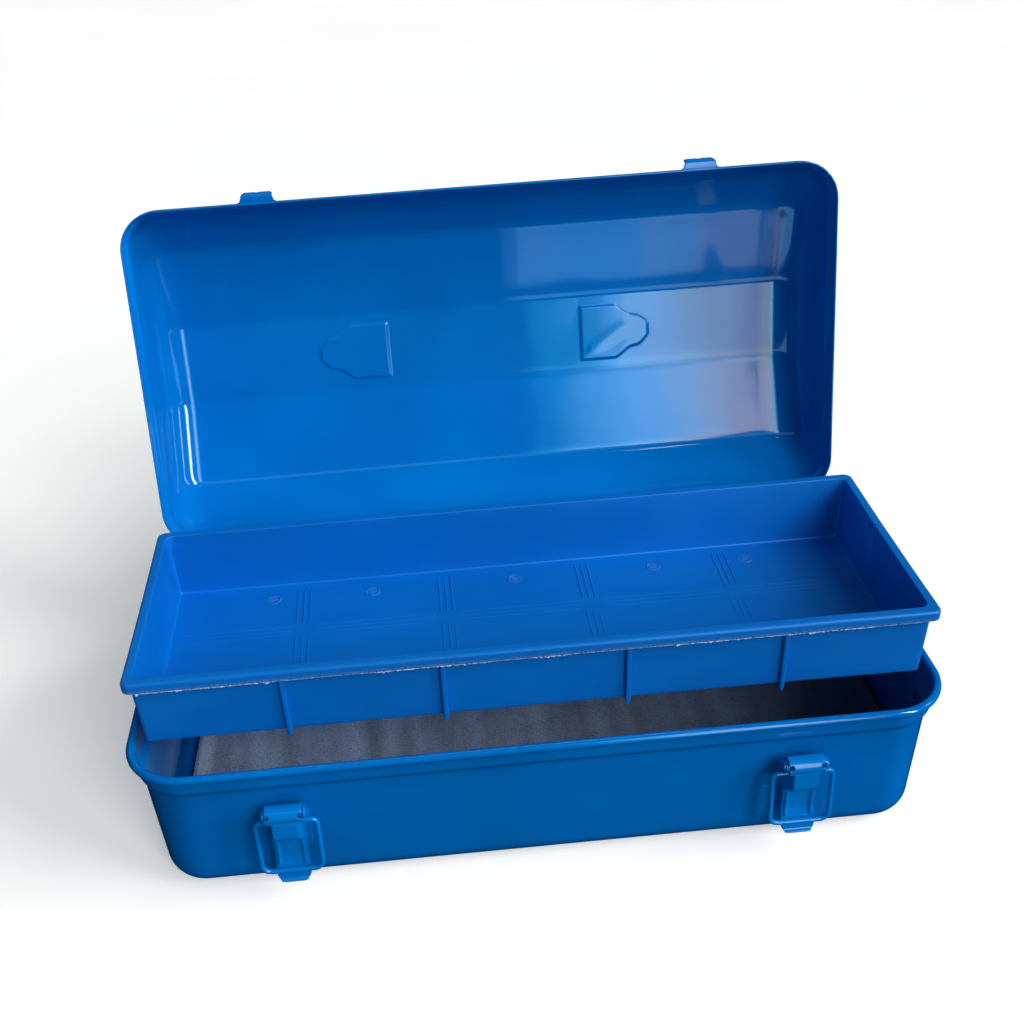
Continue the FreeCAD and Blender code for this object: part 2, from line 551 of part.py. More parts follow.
def tray():
    hx, hy = TRAY_W / 2, TRAY_D / 2
    z0 = -TRAY_H
    bx, by = hx - TRAY_RIM, hy - TRAY_RIM          # outer face of the body under the rim
    draft = 1.2
    body = drafted(bx, by, z0, 0.0, draft, 3.0)
    low = [e for e in body.Edges if abs(e.BoundBox.ZMax - z0) < 1e-6]
    body = body.makeFillet(1.4, low)
    rim = drafted(hx, hy, -TRAY_LIP, 0.0, 0.0, 2.2)
    rim = rim.cut(drafted(hx - 1.5, hy - 1.5, -TRAY_LIP - 1, -1.8, 0.0, 1.4))
    s = body.fuse(rim)
    ribs = []
    for x in TRAY_RIBS:
        for sy in (1, -1):
            y_in, y_out = by - 2.2, by + 1.9
            ribs.append(box_at(x - 0.8, x + 0.8, min(sy * y_in, sy * y_out), max(sy * y_in, sy * y_out), z0 - 2.0, -1.0))
        ribs.append(box_at(x - 0.8, x + 0.8, -by + 2, by - 2, z0 - 0.8, z0 + 0.6))
    s = s.fuse(ribs)
    inside = drafted(bx - TRAY_WALL, by - TRAY_WALL, z0 + 1.7, 0.0, draft, 2.0)
    inside = inside.fuse(drafted(bx - TRAY_WALL, by - TRAY_WALL, -0.5, 1.0, 0.0, 2.0))
    inside = inside.removeSplitter()
    low = [e for e in inside.Edges if abs(e.BoundBox.ZMax - (z0 + 1.7)) < 1e-6]
    inside = inside.makeFillet(1.2, low)
    s = s.cut(inside)
    # fine lines moulded on the floor, and the marks of the ejector pins
    f = z0 + 1.7
    marks = []
    for x in TRAY_LINES:
        for d in (-3.0, 0.0, 3.0):
            marks.append(box_at(x + d - 0.3, x + d + 0.3, -by + 4, by - 4, f - 0.5, f + 0.22))
    for d in (-3.0, 0.0, 3.0):
        marks.append(box_at(-bx + 4, bx - 4, TRAY_CROSS + d - 0.3, TRAY_CROSS + d + 0.3, f - 0.5, f + 0.2))
    for x in (-119.0, -70.0, 0.5, 70.0, 116.5):
        for y in (-38.3, 39.3):
            marks.append(Part.makeCylinder(3.4, 0.75, V(x, y, f - 0.5)).cut(Part.makeCylinder(2.7, 2, V(x, y, f - 1))))
    s = s.fuse(marks).removeSplitter()
    return moved(s.Solids[0], 0, TRAY_Y, TRAY_TOP)


save("lift_out_tray", tray())


# ---------------------------------------------------------------- latches
def on_wall(s, side):
    """From the latch's own frame (y outward is negative, z true height) to the leaning front wall."""
    s = turned(s, WALL_LEAN, (1, 0, 0), (0, 0, LEDGE_LOW))
    return moved(s, side * LATCH_X, -WALL_TOP_Y - PAD, 0)


def wall_point(w, z):
    a = math.radians(WALL_LEAN)
    dy, dz = -w, z - LEDGE_LOW
    return (-WALL_TOP_Y - PAD + dy * math.cos(a) - dz * math.sin(a), LEDGE_LOW + dy * math.sin(a) + dz * math.cos(a))


EAR_X, LATCH_EAR_T = 8.15, 0.9     # the bracket's ears stand just outside the lever
BRACKET_LOW, BRACKET_TOP = 24.0, 48.6


def latch_bracket():
    half = EAR_X + LATCH_EAR_T + 0.3
    plate = Part.makeBox(2 * half, 1.4, BRACKET_TOP - BRACKET_LOW, V(-half, -1.0, BRACKET_LOW))
    up = [e for e in plate.Edges if e.BoundBox.XLength < 1e-6 and e.BoundBox.ZLength < 1e-6]
    plate = plate.makeFillet(2.6, up)
    ears = []
    for s in (1, -1):
        x0 = EAR_X if s > 0 else -EAR_X - LATCH_EAR_T
        e = poly([(-0.5, 44.2), (-PIVOT_W, PIVOT_Z - 2.85), (-PIVOT_W, PIVOT_Z + 2.85), (-0.5, 48.2)], "yz", x0).extrude(V(LATCH_EAR_T, 0, 0))
        c = Part.makeCylinder(2.85, LATCH_EAR_T, V(x0, -PIVOT_W, PIVOT_Z), V(1, 0, 0))
        ears.append(fused([e, c]).cut(Part.makeCylinder(1.5, 3, V(x0 - 1, -PIVOT_W, PIVOT_Z), V(1, 0, 0))))
    return fused([plate] + ears)


def latch_pin():
    out = EAR_X + LATCH_EAR_T
    bits = [Part.makeCylinder(1.5, 2 * out, V(-out, -PIVOT_W, PIVOT_Z), V(1, 0, 0))]
    for s in (1, -1):
        bits.append(Part.makeCylinder(2.0, 0.45, V(out if s > 0 else -out - 0.45, -PIVOT_W, PIVOT_Z), V(1, 0, 0)))
    return fused(bits)


ROLL = 4.0
HOOD_FACE_HALF, HOOD_BACK_W = 5.4, 2.7  # the hood's front face, and where its slanting sides reach full width
PLATE_HALF = 7.5                        # lower plate and finger lip


def lever():
    """One pressed sheet: a roll round the pin, a hood with slanting sides, a plate with two beads and a flared lip."""
    t = LEVER_T
    W, Z = PIVOT_W, PIVOT_Z
    H = LEVER_HALF
    wf = W + ROLL                                  # front of the hood
    a1 = math.radians(-25.0)                       # bend line between roll and front face
    pr = (W + ROLL * math.cos(a1), Z + ROLL * math.sin(a1))

    def across(points, x0, x1):
        return poly([(-a, b) for a, b in points], "yz", x0).extrude(V(x1 - x0, 0, 0))

    shell = across([(W - 3.6, Z + 1.5), (W - 2.6, Z + 3.0), (W, Z + ROLL), pr, (wf - 0.15, 51.0), (wf, 42.6), (wf - 0.6, 41.0),
                    (6.3, 37.2), (5.4, 34.0), (3.4, 36.5), (2.7, 41.0), (3.4, Z - 3.5)], -H, H)
    shell = fused([shell, Part.makeCylinder(ROLL, 2 * H, V(-H, -W, Z), V(1, 0, 0))])
    hollow = across([(-1.0, 52.8), (W, 52.8), (pr[0] - t, 51.5), (wf - 0.15 - t, 50.9), (wf - t, 42.9), (wf - 1.3, 41.6),
                     (5.4, 37.9), (5.4, 30.0), (-1.0, 30.0)], -H + t, H - t)
    hollow = fused([hollow, Part.makeCylinder(ROLL - t, 2 * (H - t), V(-H + t, -W, Z), V(1, 0, 0))])
    lean = (H - HOOD_FACE_HALF) / (wf - HOOD_BACK_W)      # sideways run of a side per unit of depth
    k = math.hypot(1.0, lean)
    for s in (1, -1):
        out = [(s * HOOD_FACE_HALF, -wf), (s * (HOOD_FACE_HALF + lean * wf), 0), (s * (H + 2), 0), (s * (H + 2), -wf - 2),
               (s * HOOD_FACE_HALF, -wf - 2)]
        shell = shell.cut(poly(out, "xy", 36.0).extrude(V(0, 0, 15.3)))
        x_in = HOOD_FACE_HALF - t * k + t * lean           # inner corner behind the front face
        inn = [(s * x_in, -wf + t), (s * (x_in + lean * (wf - t)), 0), (s * (H + 2), 0), (s * (H + 2), -wf - 2), (s * x_in, -wf - 2)]
        hollow = hollow.cut(poly(inn, "xy", 28.0).extrude(V(0, 0, 22.9)))
    hood = shell.cut(hollow)
    plate = across([(5.4, 38.6), (6.3, 37.2), (6.3, 24.9), (9.6, 14.7), (10.9, 13.9), (10.6, 13.1), (8.9, 13.9), (5.4, 24.7)], -PLATE_HALF, PLATE_HALF)
    # round the lower corners of the lip
    r = 4.2
    for s in (1, -1):
        x0, z0 = s * PLATE_HALF, 13.0
        e = [line((x0, 0, z0 + r), (x0 + s, 0, z0 + r)), line((x0 + s, 0, z0 + r), (x0 + s, 0, z0 - 1)),
             line((x0 + s, 0, z0 - 1), (x0 - s * r, 0, z0 - 1)), line((x0 - s * r, 0, z0 - 1), (x0 - s * r, 0, z0)),
             Part.Arc(V(x0 - s * r, 0, z0), V(x0 - s * r * 0.2929, 0, z0 + r * 0.2929), V(x0, 0, z0 + r)).toShape()]
        plate = plate.cut(moved(face_xz(e), 0, -20, 0).extrude(V(0, 20, 0)))
    bits = [hood, plate]
    for s in (1, -1):
        # pressed bead along each side of the plate
        x0 = s * 5.6
        d = V(0, -3.3, -10.2).normalize()
        foot = V(x0, -6.3, 25.4) + d * 3.4
        bits.append(fused([Part.makeCylinder(1.0, 11.8, V(x0, -6.3, 25.4), V(0, 0, 1)), Part.makeSphere(1.0, V(x0, -6.3, 25.4)),
                           Part.makeCylinder(0.85, 3.4, V(x0, -6.3, 25.4), d), Part.makeSphere(0.85, foot)]))
    lv = fused(bits)
    for s in (1, -1):
        # round relief where roll, front face and bevelled side meet
        a = math.radians(26.0)
        lv = lv.cut(Part.makeCylinder(1.2, 3.4, V(s * 7.15, -W - 1.9 * math.cos(a), Z + 1.9 * math.sin(a)), V(0, -math.cos(a), math.sin(a))))
    lv = lv.cut(Part.makeCylinder(1.55, 2 * H + 4, V(-H - 2, -W, Z), V(1, 0, 0)))
    lv = lv.cut(Part.makeCylinder(WIRE / 2 + 0.05, 2 * H + 4, V(-H - 2, -BAIL_W, BAIL_Z), V(1, 0, 0)))
    return max(lv.Solids, key=lambda q: q.Volume)


def bail():
    h = BAIL_HALF
    top = (-BAIL_W, BAIL_Z)
    low = (-BAIL_LOW_W, BAIL_LOW_Z)
    pts = [(-BAIL_END, top[0], top[1]), (-h, top[0], top[1]), (-h, low[0], low[1]),
           (h, low[0], low[1]), (h, top[0], top[1]), (BAIL_END, top[0], top[1])]
    return rod(pts, [2.6, 4.0, 4.0, 2.6], WIRE)


bail_shape, lever_shape, bracket_shape, pin_shape = bail(), lever(), latch_bracket(), latch_pin()
for nm, s in (("left", -1), ("right", 1)):
    save("%s_latch_bracket" % nm, on_wall(bracket_shape, s))
    save("%s_latch_pin" % nm, on_wall(pin_shape, s))
    save("%s_latch_lever" % nm, on_wall(lever_shape, s))
    save("%s_latch_bail" % nm, on_wall(bail_shape, s))

py, pz = wall_point(PIVOT_W, PIVOT_Z)
by_, bz = wall_point(BAIL_W, BAIL_Z)
ly, lz = wall_point(BAIL_LOW_W, BAIL_LOW_Z)
hz = turned(Part.Vertex(0, 0, LID_CLOSED_Z + PZ), -LID_OPEN_DEG, (1, 0, 0), (0, HINGE_Y, HINGE_Z)).Point
reach = math.hypot(by_ - ly, bz - lz)
sy = -90.5
sz = bz + math.sqrt(reach ** 2 - (sy - by_) ** 2)
a_rest = math.degrees(math.atan2(lz - bz, ly - by_))
a_up = math.degrees(math.atan2(sz - bz, sy - by_))
print("lever pivot y %.3f z %.3f | bail pivot y %.3f z %.3f reach %.2f latched wire at y %.2f z %.2f, lid z %.2f, turn %.1f" % (
    py, pz, by_, bz, reach, sy, sz, sz - LID_CLOSED_Z, (a_rest % 360) - a_up))
print("handle pivot y %.3f z %.3f" % (hz.y, hz.z))
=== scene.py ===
import math
import bpy
import bmesh
import numpy as np
from mathutils import Matrix, Vector, noise


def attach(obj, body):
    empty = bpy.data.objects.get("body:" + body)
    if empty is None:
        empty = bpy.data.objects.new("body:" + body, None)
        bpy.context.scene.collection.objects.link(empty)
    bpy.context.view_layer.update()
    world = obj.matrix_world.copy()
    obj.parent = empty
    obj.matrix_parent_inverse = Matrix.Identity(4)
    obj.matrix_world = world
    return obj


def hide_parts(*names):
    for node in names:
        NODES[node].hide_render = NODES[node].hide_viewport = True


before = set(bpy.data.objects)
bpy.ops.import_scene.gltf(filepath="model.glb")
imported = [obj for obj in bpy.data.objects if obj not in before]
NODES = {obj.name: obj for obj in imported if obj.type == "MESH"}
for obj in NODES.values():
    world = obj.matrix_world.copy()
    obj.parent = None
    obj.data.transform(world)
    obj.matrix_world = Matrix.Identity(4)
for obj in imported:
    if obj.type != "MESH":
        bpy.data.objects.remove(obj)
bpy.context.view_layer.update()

# Lengths in this script are millimetres until a mesh is made.
MM = 0.001

# the part's own dimensions, the same values as in the CAD source
SHEET = 0.8
BASE_W, BASE_D, BASE_H, BASE_CORNER = 355.4, 172.4, 73.8, 27.0
RIM_R, LEDGE_TOP, LEDGE_LOW, LEDGE_IN, WALL_DRAFT, BOTTOM_BEND = 1.9, 62.4, 60.2, 2.0, 2.0, 12.0
LID_W, LID_D = 360.0, 177.0
STEP_LOW, STEP_TOP, SKIRT_IN, ROOF_R = 4.45, 6.65, 2.1, 17.0
ROOF = [(85.6, 17.0), (64.4, 35.7), (21.6, 48.0)]
OPEN_DEG, HINGE_Y, HINGE_Z, LID_Z = 102.42, 91.0, 70.19, 67.08
SEAT = [(53.6, -14.7), (72.8, -14.7), (80.3, -9.2), (86.2, -7.8), (90.6, -3.2),
        (90.6, 3.2), (86.2, 7.8), (80.3, 9.2), (72.8, 14.7), (53.6, 14.7)]
SEAT_DEPTH = 0.9
TRAY_W, TRAY_D, TRAY_H, TRAY_Y, TRAY_TOP = 345.4, 115.0, 35.5, -8.5, 109.85
TRAY_WALL, TRAY_RIM, TRAY_LIP = 1.6, 2.9, 5.0
TRAY_RIBS = (-107.0, -39.5, 39.5, 107.0)
TRAY_LINES, TRAY_CROSS = (-104.0, -34.5, 34.5, 104.0), 13.5


# ------------------------------------------------------------ node helpers
class Nodes:
    """Small helper around one material's node tree."""

    def __init__(self, name):
        self.mat = bpy.data.materials.new(name)
        self.mat.use_nodes = True
        self.t = self.mat.node_tree
        for n in list(self.t.nodes):
            self.t.nodes.remove(n)
        self.out = self.t.nodes.new("ShaderNodeOutputMaterial")
        self.bsdf = self.t.nodes.new("ShaderNodeBsdfPrincipled")
        self.t.links.new(self.bsdf.outputs[0], self.out.inputs[0])

    def new(self, kind, **props):
        n = self.t.nodes.new(kind)
        for k, v in props.items():
            setattr(n, k, v)
        return n

    def link(self, a, b):
        self.t.links.new(a, b)

    def coords(self):
        return self.new("ShaderNodeTexCoord").outputs["Object"]

    def mapping(self, vec, scale=(1, 1, 1), rot=(0, 0, 0), loc=(0, 0, 0)):
        m = self.new("ShaderNodeMapping")
        m.inputs["Scale"].default_value = scale
        m.inputs["Rotation"].default_value = rot
        m.inputs["Location"].default_value = loc
        self.link(vec, m.inputs["Vector"])
        return m.outputs[0]

    def noise(self, vec, scale, detail=2.0, rough=0.5, distortion=0.0):
        n = self.new("ShaderNodeTexNoise")
        n.inputs["Scale"].default_value = scale
        n.inputs["Detail"].default_value = detail
        n.inputs["Roughness"].default_value = rough
        n.inputs["Distortion"].default_value = distortion
        self.link(vec, n.inputs["Vector"])
        return n.outputs["Fac"]

    def voronoi(self, vec, scale, feature="F1", random=1.0):
        n = self.new("ShaderNodeTexVoronoi", feature=feature)
        n.inputs["Scale"].default_value = scale
        n.inputs["Randomness"].default_value = random
        self.link(vec, n.inputs["Vector"])
        return n.outputs["Distance"]

    def ramp(self, fac, stops, interpolation="LINEAR"):
        r = self.new("ShaderNodeValToRGB")
        r.color_ramp.interpolation = interpolation
        e = r.color_ramp.elements
        while len(e) < len(stops):
            e.new(0.5)
        for i, (p, c) in enumerate(stops):
            e[i].position = p
            e[i].color = c if len(c) == 4 else (*c, 1)
        self.link(fac, r.inputs["Fac"])
        return r.outputs["Color"]

    def remap(self, fac, a, b, c, d):
        m = self.new("ShaderNodeMapRange")
        for k, v in zip(("From Min", "From Max", "To Min", "To Max"), (a, b, c, d)):
            m.inputs[k].default_value = v
        self.link(fac, m.inputs["Value"])
        return m.outputs["Result"]

    def math(self, op, a, b=None):
        m = self.new("ShaderNodeMath", operation=op)
        for i, v in enumerate((a, b)):
            if v is None:
                continue
            if isinstance(v, (int, float)):
                m.inputs[i].default_value = v
            else:
                self.link(v, m.inputs[i])
        return m.outputs[0]

    def mix(self, fac, a, b, blend="MIX"):
        m = self.new("ShaderNodeMix", data_type="RGBA", blend_type=blend)
        if isinstance(fac, (int, float)):
            m.inputs[0].default_value = fac
        else:
            self.link(fac, m.inputs[0])
        for i, v in ((6, a), (7, b)):
            if isinstance(v, tuple):
                m.inputs[i].default_value = v if len(v) == 4 else (*v, 1)
            else:
                self.link(v, m.inputs[i])
        return m.outputs[2]

    def bump(self, height, strength, distance, normal=None):
        b = self.new("ShaderNodeBump")
        b.inputs["Strength"].default_value = strength
        b.inputs["Distance"].default_value = distance
        self.link(height, b.inputs["Height"])
        if normal is not None:
            self.link(normal, b.inputs["Normal"])
        return b.outputs["Normal"]

    def attribute(self, name):
        return self.new("ShaderNodeAttribute", attribute_name=name).outputs["Fac"]

    def set(self, **values):
        for k, v in values.items():
            self.bsdf.inputs[k.replace("_", " ")].default_value = v


# ---------------------------------------------------------------- materials
def paint_material(name, deep, mid, pale, rough=0.16, rubs_and_highlight=True):
    """Glossy stove enamel over pressed steel: faint colour drift, orange peel, dust, and paler frayed rubs on marked
    edges that are partly worn paint and partly a painted highlight.
    """
    m = Nodes(name)
    co = m.coords()
    drift = m.noise(co, 14.0, 2.0, 0.5)
    colour = m.ramp(drift, [(0.30, deep), (0.52, mid), (0.78, pale)])
    speck = m.voronoi(co, 420.0)
    speckmask = m.math("LESS_THAN", speck, 0.035)
    thin = m.noise(co, 60.0, 3.0, 0.6)
    speckmask = m.math("MULTIPLY", speckmask, m.remap(thin, 0.52, 0.66, 0.0, 0.55))
    colour = m.mix(speckmask, colour, (0.22, 0.34, 0.46))
    if rubs_and_highlight:
        # marked edges go paler blue in frayed patches: partly rubbed paint, partly a painted highlight along the rim
        edge = m.attribute("edge")
        frayed = m.noise(co, 260.0, 4.0, 0.65)
        rub_and_highlight_mask = m.math("MULTIPLY", edge, m.remap(frayed, 0.44, 0.62, 0.0, 0.75))
        colour = m.mix(rub_and_highlight_mask, colour, pale)
    m.link(colour, m.bsdf.inputs["Base Color"])
    smear = m.noise(m.mapping(co, (1, 1, 2.2)), 22.0, 4.0, 0.62)
    fine = m.noise(co, 900.0, 2.0, 0.5)
    r = m.remap(smear, 0.25, 0.80, rough - 0.02, rough + 0.045)
    r = m.math("ADD", r, m.remap(fine, 0.3, 0.7, -0.015, 0.015))
    m.link(r, m.bsdf.inputs["Roughness"])
    peel = m.noise(co, 520.0, 1.0, 0.4)
    roll = m.noise(co, 30.0, 1.0, 0.4)
    nrm = m.bump(roll, 0.25, 0.00035)
    nrm = m.bump(peel, 0.10, 0.00006, nrm)
    m.link(nrm, m.bsdf.inputs["Normal"])
    m.set(IOR=1.5, Metallic=0.0, Specular_Tint=(0.60, 0.80, 1.0, 1.0))
    return m.mat


def plastic_material(name):
    """Injection-moulded tray plastic: satin, fine grain, faint flow marks and scuffs."""
    m = Nodes(name)
    co = m.coords()
    flow = m.noise(m.mapping(co, (1.0, 2.6, 2.6)), 9.0, 3.0, 0.55, 0.6)
    colour = m.ramp(flow, [(0.28, (0.0, 0.124, 0.49)), (0.55, (0.0, 0.138, 0.545)), (0.80, (0.0, 0.154, 0.59))])
    scuff = m.noise(m.mapping(co, (1.0, 9.0, 1.0), (0, 0, 0.35)), 70.0, 5.0, 0.7)
    scuffmask = m.remap(scuff, 0.66, 0.80, 0.0, 0.22)
    colour = m.mix(scuffmask, colour, (0.06, 0.26, 0.62))
    stress = m.attribute("stress")
    ragged = m.noise(co, 900.0, 3.0, 0.7)
    white = m.math("MULTIPLY", stress, m.remap(ragged, 0.40, 0.56, 0.05, 1.0))
    colour = m.mix(white, colour, (0.66, 0.88, 1.0))
    m.link(colour, m.bsdf.inputs["Base Color"])
    blotch = m.noise(co, 26.0, 3.0, 0.55)
    r = m.remap(blotch, 0.3, 0.72, 0.34, 0.50)
    r = m.math("ADD", r, m.math("MULTIPLY", scuffmask, 0.5))
    m.link(r, m.bsdf.inputs["Roughness"])
    grain = m.noise(co, 1500.0, 2.0, 0.5)
    draw = m.noise(m.mapping(co, (1.0, 1.0, 14.0)), 60.0, 2.0, 0.5)
    nrm = m.bump(draw, 0.12, 0.0002)
    nrm = m.bump(grain, 0.22, 0.00006, nrm)
    m.link(nrm, m.bsdf.inputs["Normal"])
    m.set(IOR=1.45, Specular_Tint=(0.40, 0.75, 1.0, 1.0))
    return m.mat


def felt_material(name):
    """Dark blue-grey felt-like foam sheet with a coarse speckle, darker soft vertical bands that are painted shade of
    its ripples, and painted light toward its left end fading to painted shade toward its right.
    """
    m = Nodes(name)
    co = m.coords()
    mott = m.noise(co, 55.0, 4.0, 0.6)
    colour = m.ramp(mott, [(0.28, (0.118, 0.172, 0.250)), (0.52, (0.178, 0.250, 0.335)), (0.78, (0.255, 0.335, 0.410))])
    fibre = m.noise(co, 1500.0, 3.0, 0.75)
    colour = m.mix(m.remap(fibre, 0.44, 0.62, 0.0, 0.75), colour, (0.42, 0.49, 0.56))
    dark = m.voronoi(co, 620.0)
    colour = m.mix(m.remap(dark, 0.0, 0.32, 0.72, 0.0), colour, (0.030, 0.038, 0.070))
    # painted light and shade: the sheet is made brighter toward its left end and darker toward its right end, where the
    # tray and the base's right end shade it
    along = m.new("ShaderNodeSeparateXYZ")
    m.link(co, along.inputs[0])
    painted_light_to_shade = m.ramp(m.remap(along.outputs[0], -0.17, 0.17, 0.0, 1.0),
                  [(0.0, (2.15, 2.10, 2.05)), (0.22, (1.95, 1.90, 1.85)), (0.55, (1.30, 1.30, 1.25)), (0.80, (0.45, 0.55, 0.60)), (1.0, (0.20, 0.26, 0.30))])
    colour = m.mix(1.0, colour, painted_light_to_shade, "MULTIPLY")
    # painted shade: darker bands across the sheet stand for the shaded sides of its ripples
    ripple_shade_bands = m.noise(m.mapping(co, (1.0, 0.12, 0.3)), 62.0, 1.0, 0.4)
    colour = m.mix(m.remap(ripple_shade_bands, 0.38, 0.62, 0.0, 0.42), colour, (0.060, 0.078, 0.115))
    m.link(colour, m.bsdf.inputs["Base Color"])
    m.link(m.remap(fibre, 0.3, 0.7, 0.82, 0.96), m.bsdf.inputs["Roughness"])
    nap = m.noise(co, 1100.0, 4.0, 0.7)
    nrm = m.bump(mott, 0.35, 0.0012)
    nrm = m.bump(nap, 0.65, 0.00045, nrm)
    m.link(nrm, m.bsdf.inputs["Normal"])
    m.set(IOR=1.45, Sheen_Weight=0.25, Sheen_Roughness=0.5)
    return m.mat


def zinc_material(name):
    """Zinc-plated steel of the pins and rivets."""
    m = Nodes(name)
    co = m.coords()
    cloud = m.noise(co, 320.0, 3.0, 0.6)
    colour = m.ramp(cloud, [(0.3, (0.38, 0.39, 0.41)), (0.6, (0.56, 0.57, 0.58)), (0.8, (0.66, 0.65, 0.62))])
    m.link(colour, m.bsdf.inputs["Base Color"])
    turn = m.noise(m.mapping(co, (60.0, 1.0, 1.0)), 40.0, 2.0, 0.5)
    m.link(m.remap(turn, 0.3, 0.7, 0.26, 0.44), m.bsdf.inputs["Roughness"])
    m.link(m.bump(turn, 0.2, 0.00005), m.bsdf.inputs["Normal"])
    m.set(Metallic=1.0)
    return m.mat


def floor_material(name):
    m = Nodes(name)
    co = m.coords()
    n = m.noise(co, 3.0, 3.0, 0.5)
    colour = m.ramp(n, [(0.3, (0.83, 0.83, 0.82)), (0.7, (0.86, 0.86, 0.85))])
    m.link(colour, m.bsdf.inputs["Base Color"])
    m.link(m.remap(n, 0.3, 0.7, 0.60, 0.68), m.bsdf.inputs["Roughness"])
    m.set(Emission_Color=(1.0, 1.0, 1.0, 1.0), Emission_Strength=0.33)
    return m.mat


PAINT = paint_material("blue_enamel", (0.0, 0.138, 0.49), (0.0, 0.156, 0.55), (0.0, 0.178, 0.60), rough=0.065)
PAINT_FIT = paint_material("blue_enamel_fittings", (0.0, 0.145, 0.51), (0.0, 0.165, 0.57), (0.0, 0.190, 0.62), rough=0.075)
PLASTIC = plastic_material("tray_plastic_blue")
# painted shade: the base takes a darker copy of the same blue enamel as the lid
PAINT_BASE_SHADED = paint_material("blue_enamel_base_shaded", (0.0, 0.118, 0.430), (0.0, 0.134, 0.485), (0.0, 0.156, 0.535), rough=0.065)
FELT = felt_material("liner_felt_grey")
ZINC = zinc_material("zinc_plate")


# ------------------------------------------------------------ mesh helpers
def make_piece(name, verts, faces, mat, body, angle=40.0, weld=0.004, replaces=(), attrs=None, ride=True):
    """A mesh object from millimetre points, welded, with smooth shading split at sharp edges."""
    me = bpy.data.meshes.new(name)
    v = np.asarray(verts, float) * MM
    me.from_pydata(v.tolist(), [], [tuple(int(i) for i in f) for f in faces])
    for key, values in (attrs or {}).items():
        a = me.attributes.new(key, "FLOAT", "POINT")
        a.data.foreach_set("value", np.asarray(values, np.float32))
    me.update()
    bm = bmesh.new()
    bm.from_mesh(me)
    if weld:
        bmesh.ops.remove_doubles(bm, verts=bm.verts, dist=weld * MM)
        bmesh.ops.dissolve_degenerate(bm, edges=bm.edges, dist=weld * 0.5 * MM)
    bmesh.ops.recalc_face_normals(bm, faces=bm.faces)
    bm.to_mesh(me)
    bm.free()
    me.polygons.foreach_set("use_smooth", [True] * len(me.polygons))
    me.set_sharp_from_angle(angle=math.radians(angle))
    me.materials.append(mat)
    ob = bpy.data.objects.new(name, me)
    bpy.context.scene.collection.objects.link(ob)
    if ride:
        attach(ob, body)
    if replaces:
        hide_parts(*replaces)
    return ob


def loop(hx, hy, r, z, tx, ty, na):
    """Points round a rounded rectangle, counter-clockwise from the front left."""
    cx, cy = hx - r, hy - r
    p = [(t * cx, -hy) for t in tx]
    arcs = [(cx, -cy, -90), (cx, cy, 0), (-cx, cy, 90), (-cx, -cy, 180)]

    def arc(k):
        ax, ay, a0 = arcs[k]
        return [(ax + r * math.cos(math.radians(a0 + 90.0 * i / na)), ay + r * math.sin(math.radians(a0 + 90.0 * i / na)))
                for i in range(1, na)]
    p += arc(0) + [(hx, t * cy) for t in ty]
    p += arc(1) + [(-t * cx, hy) for t in tx]
    p += arc(2) + [(-hx, -t * cy) for t in ty]
    p += arc(3)
    return np.array([(x, y, z) for x, y in p])


def skin(loops, closed=True):
    """Quads between successive equal loops."""
    n = len(loops[0])
    v = np.vstack(loops)
    f = []
    m = n if closed else n - 1
    for k in range(len(loops) - 1):
        a, b = k * n, (k + 1) * n
        for i in range(m):
            j = (i + 1) % n
            f.append((a + i, a + j, b + j, b + i))
    return v, f


def grid(rows):
    """Quads over an array of rows of points."""
    rows = np.asarray(rows, float)
    h, w = rows.shape[0], rows.shape[1]
    v = rows.reshape(-1, 3)
    f = [(i * w + j, i * w + j + 1, (i + 1) * w + j + 1, (i + 1) * w + j) for i in range(h - 1) for j in range(w - 1)]
    return v, f


def join(parts):
    vs, fs, n = [], [], 0
    for v, f in parts:
        vs.append(v)
        fs += [tuple(i + n for i in q) for q in f]
        n += len(v)
    return np.vstack(vs), fs


def rounded(points, radii, step=14.0):
    """A polyline through 2D points with its corners rounded; radii has one value per inner point."""
    pts = [np.array(p, float) for p in points]
    out = [pts[0]]
    for i in range(1, len(pts) - 1):
        p, r = pts[i], radii[i - 1]
        if r <= 0:
            out.append(p)
            continue
        a = pts[i - 1] - p
        b = pts[i + 1] - p
        la, lb = np.linalg.norm(a), np.linalg.norm(b)
        a, b = a / la, b / lb
        ang = math.acos(max(-1.0, min(1.0, float(a @ b))))
        if ang > math.pi - 1e-3:
            out.append(p)
            continue
        cut = min(r / math.tan(ang / 2), 0.48 * la, 0.48 * lb)
        r = cut * math.tan(ang / 2)
        c = p + (a + b) / np.linalg.norm(a + b) * (r / math.sin(ang / 2))
        s, e = p + a * cut - c, p + b * cut - c
        turn = math.pi - ang
        n = max(2, int(math.ceil(math.degrees(turn) / step)))
        sign = 1.0 if s[0] * e[1] - s[1] * e[0] > 0 else -1.0
        for k in range(n + 1):
            t = sign * turn * k / n
            out.append(c + np.array((s[0] * math.cos(t) - s[1] * math.sin(t), s[0] * math.sin(t) + s[1] * math.cos(t))))
    out.append(pts[-1])
    return [tuple(p) for p in out]


def spaced(a, b, n):
    return list(np.linspace(a, b, n))


def smoothstep(x):
    x = np.clip(x, 0.0, 1.0)
    return x * x * (3 - 2 * x)


def wander(x, y, seed, scale):
    """Smooth low-frequency wobble between about -1 and 1."""
    return noise.noise(Vector((x / scale + seed * 7.31, y / scale - seed * 3.17, seed * 1.7)))


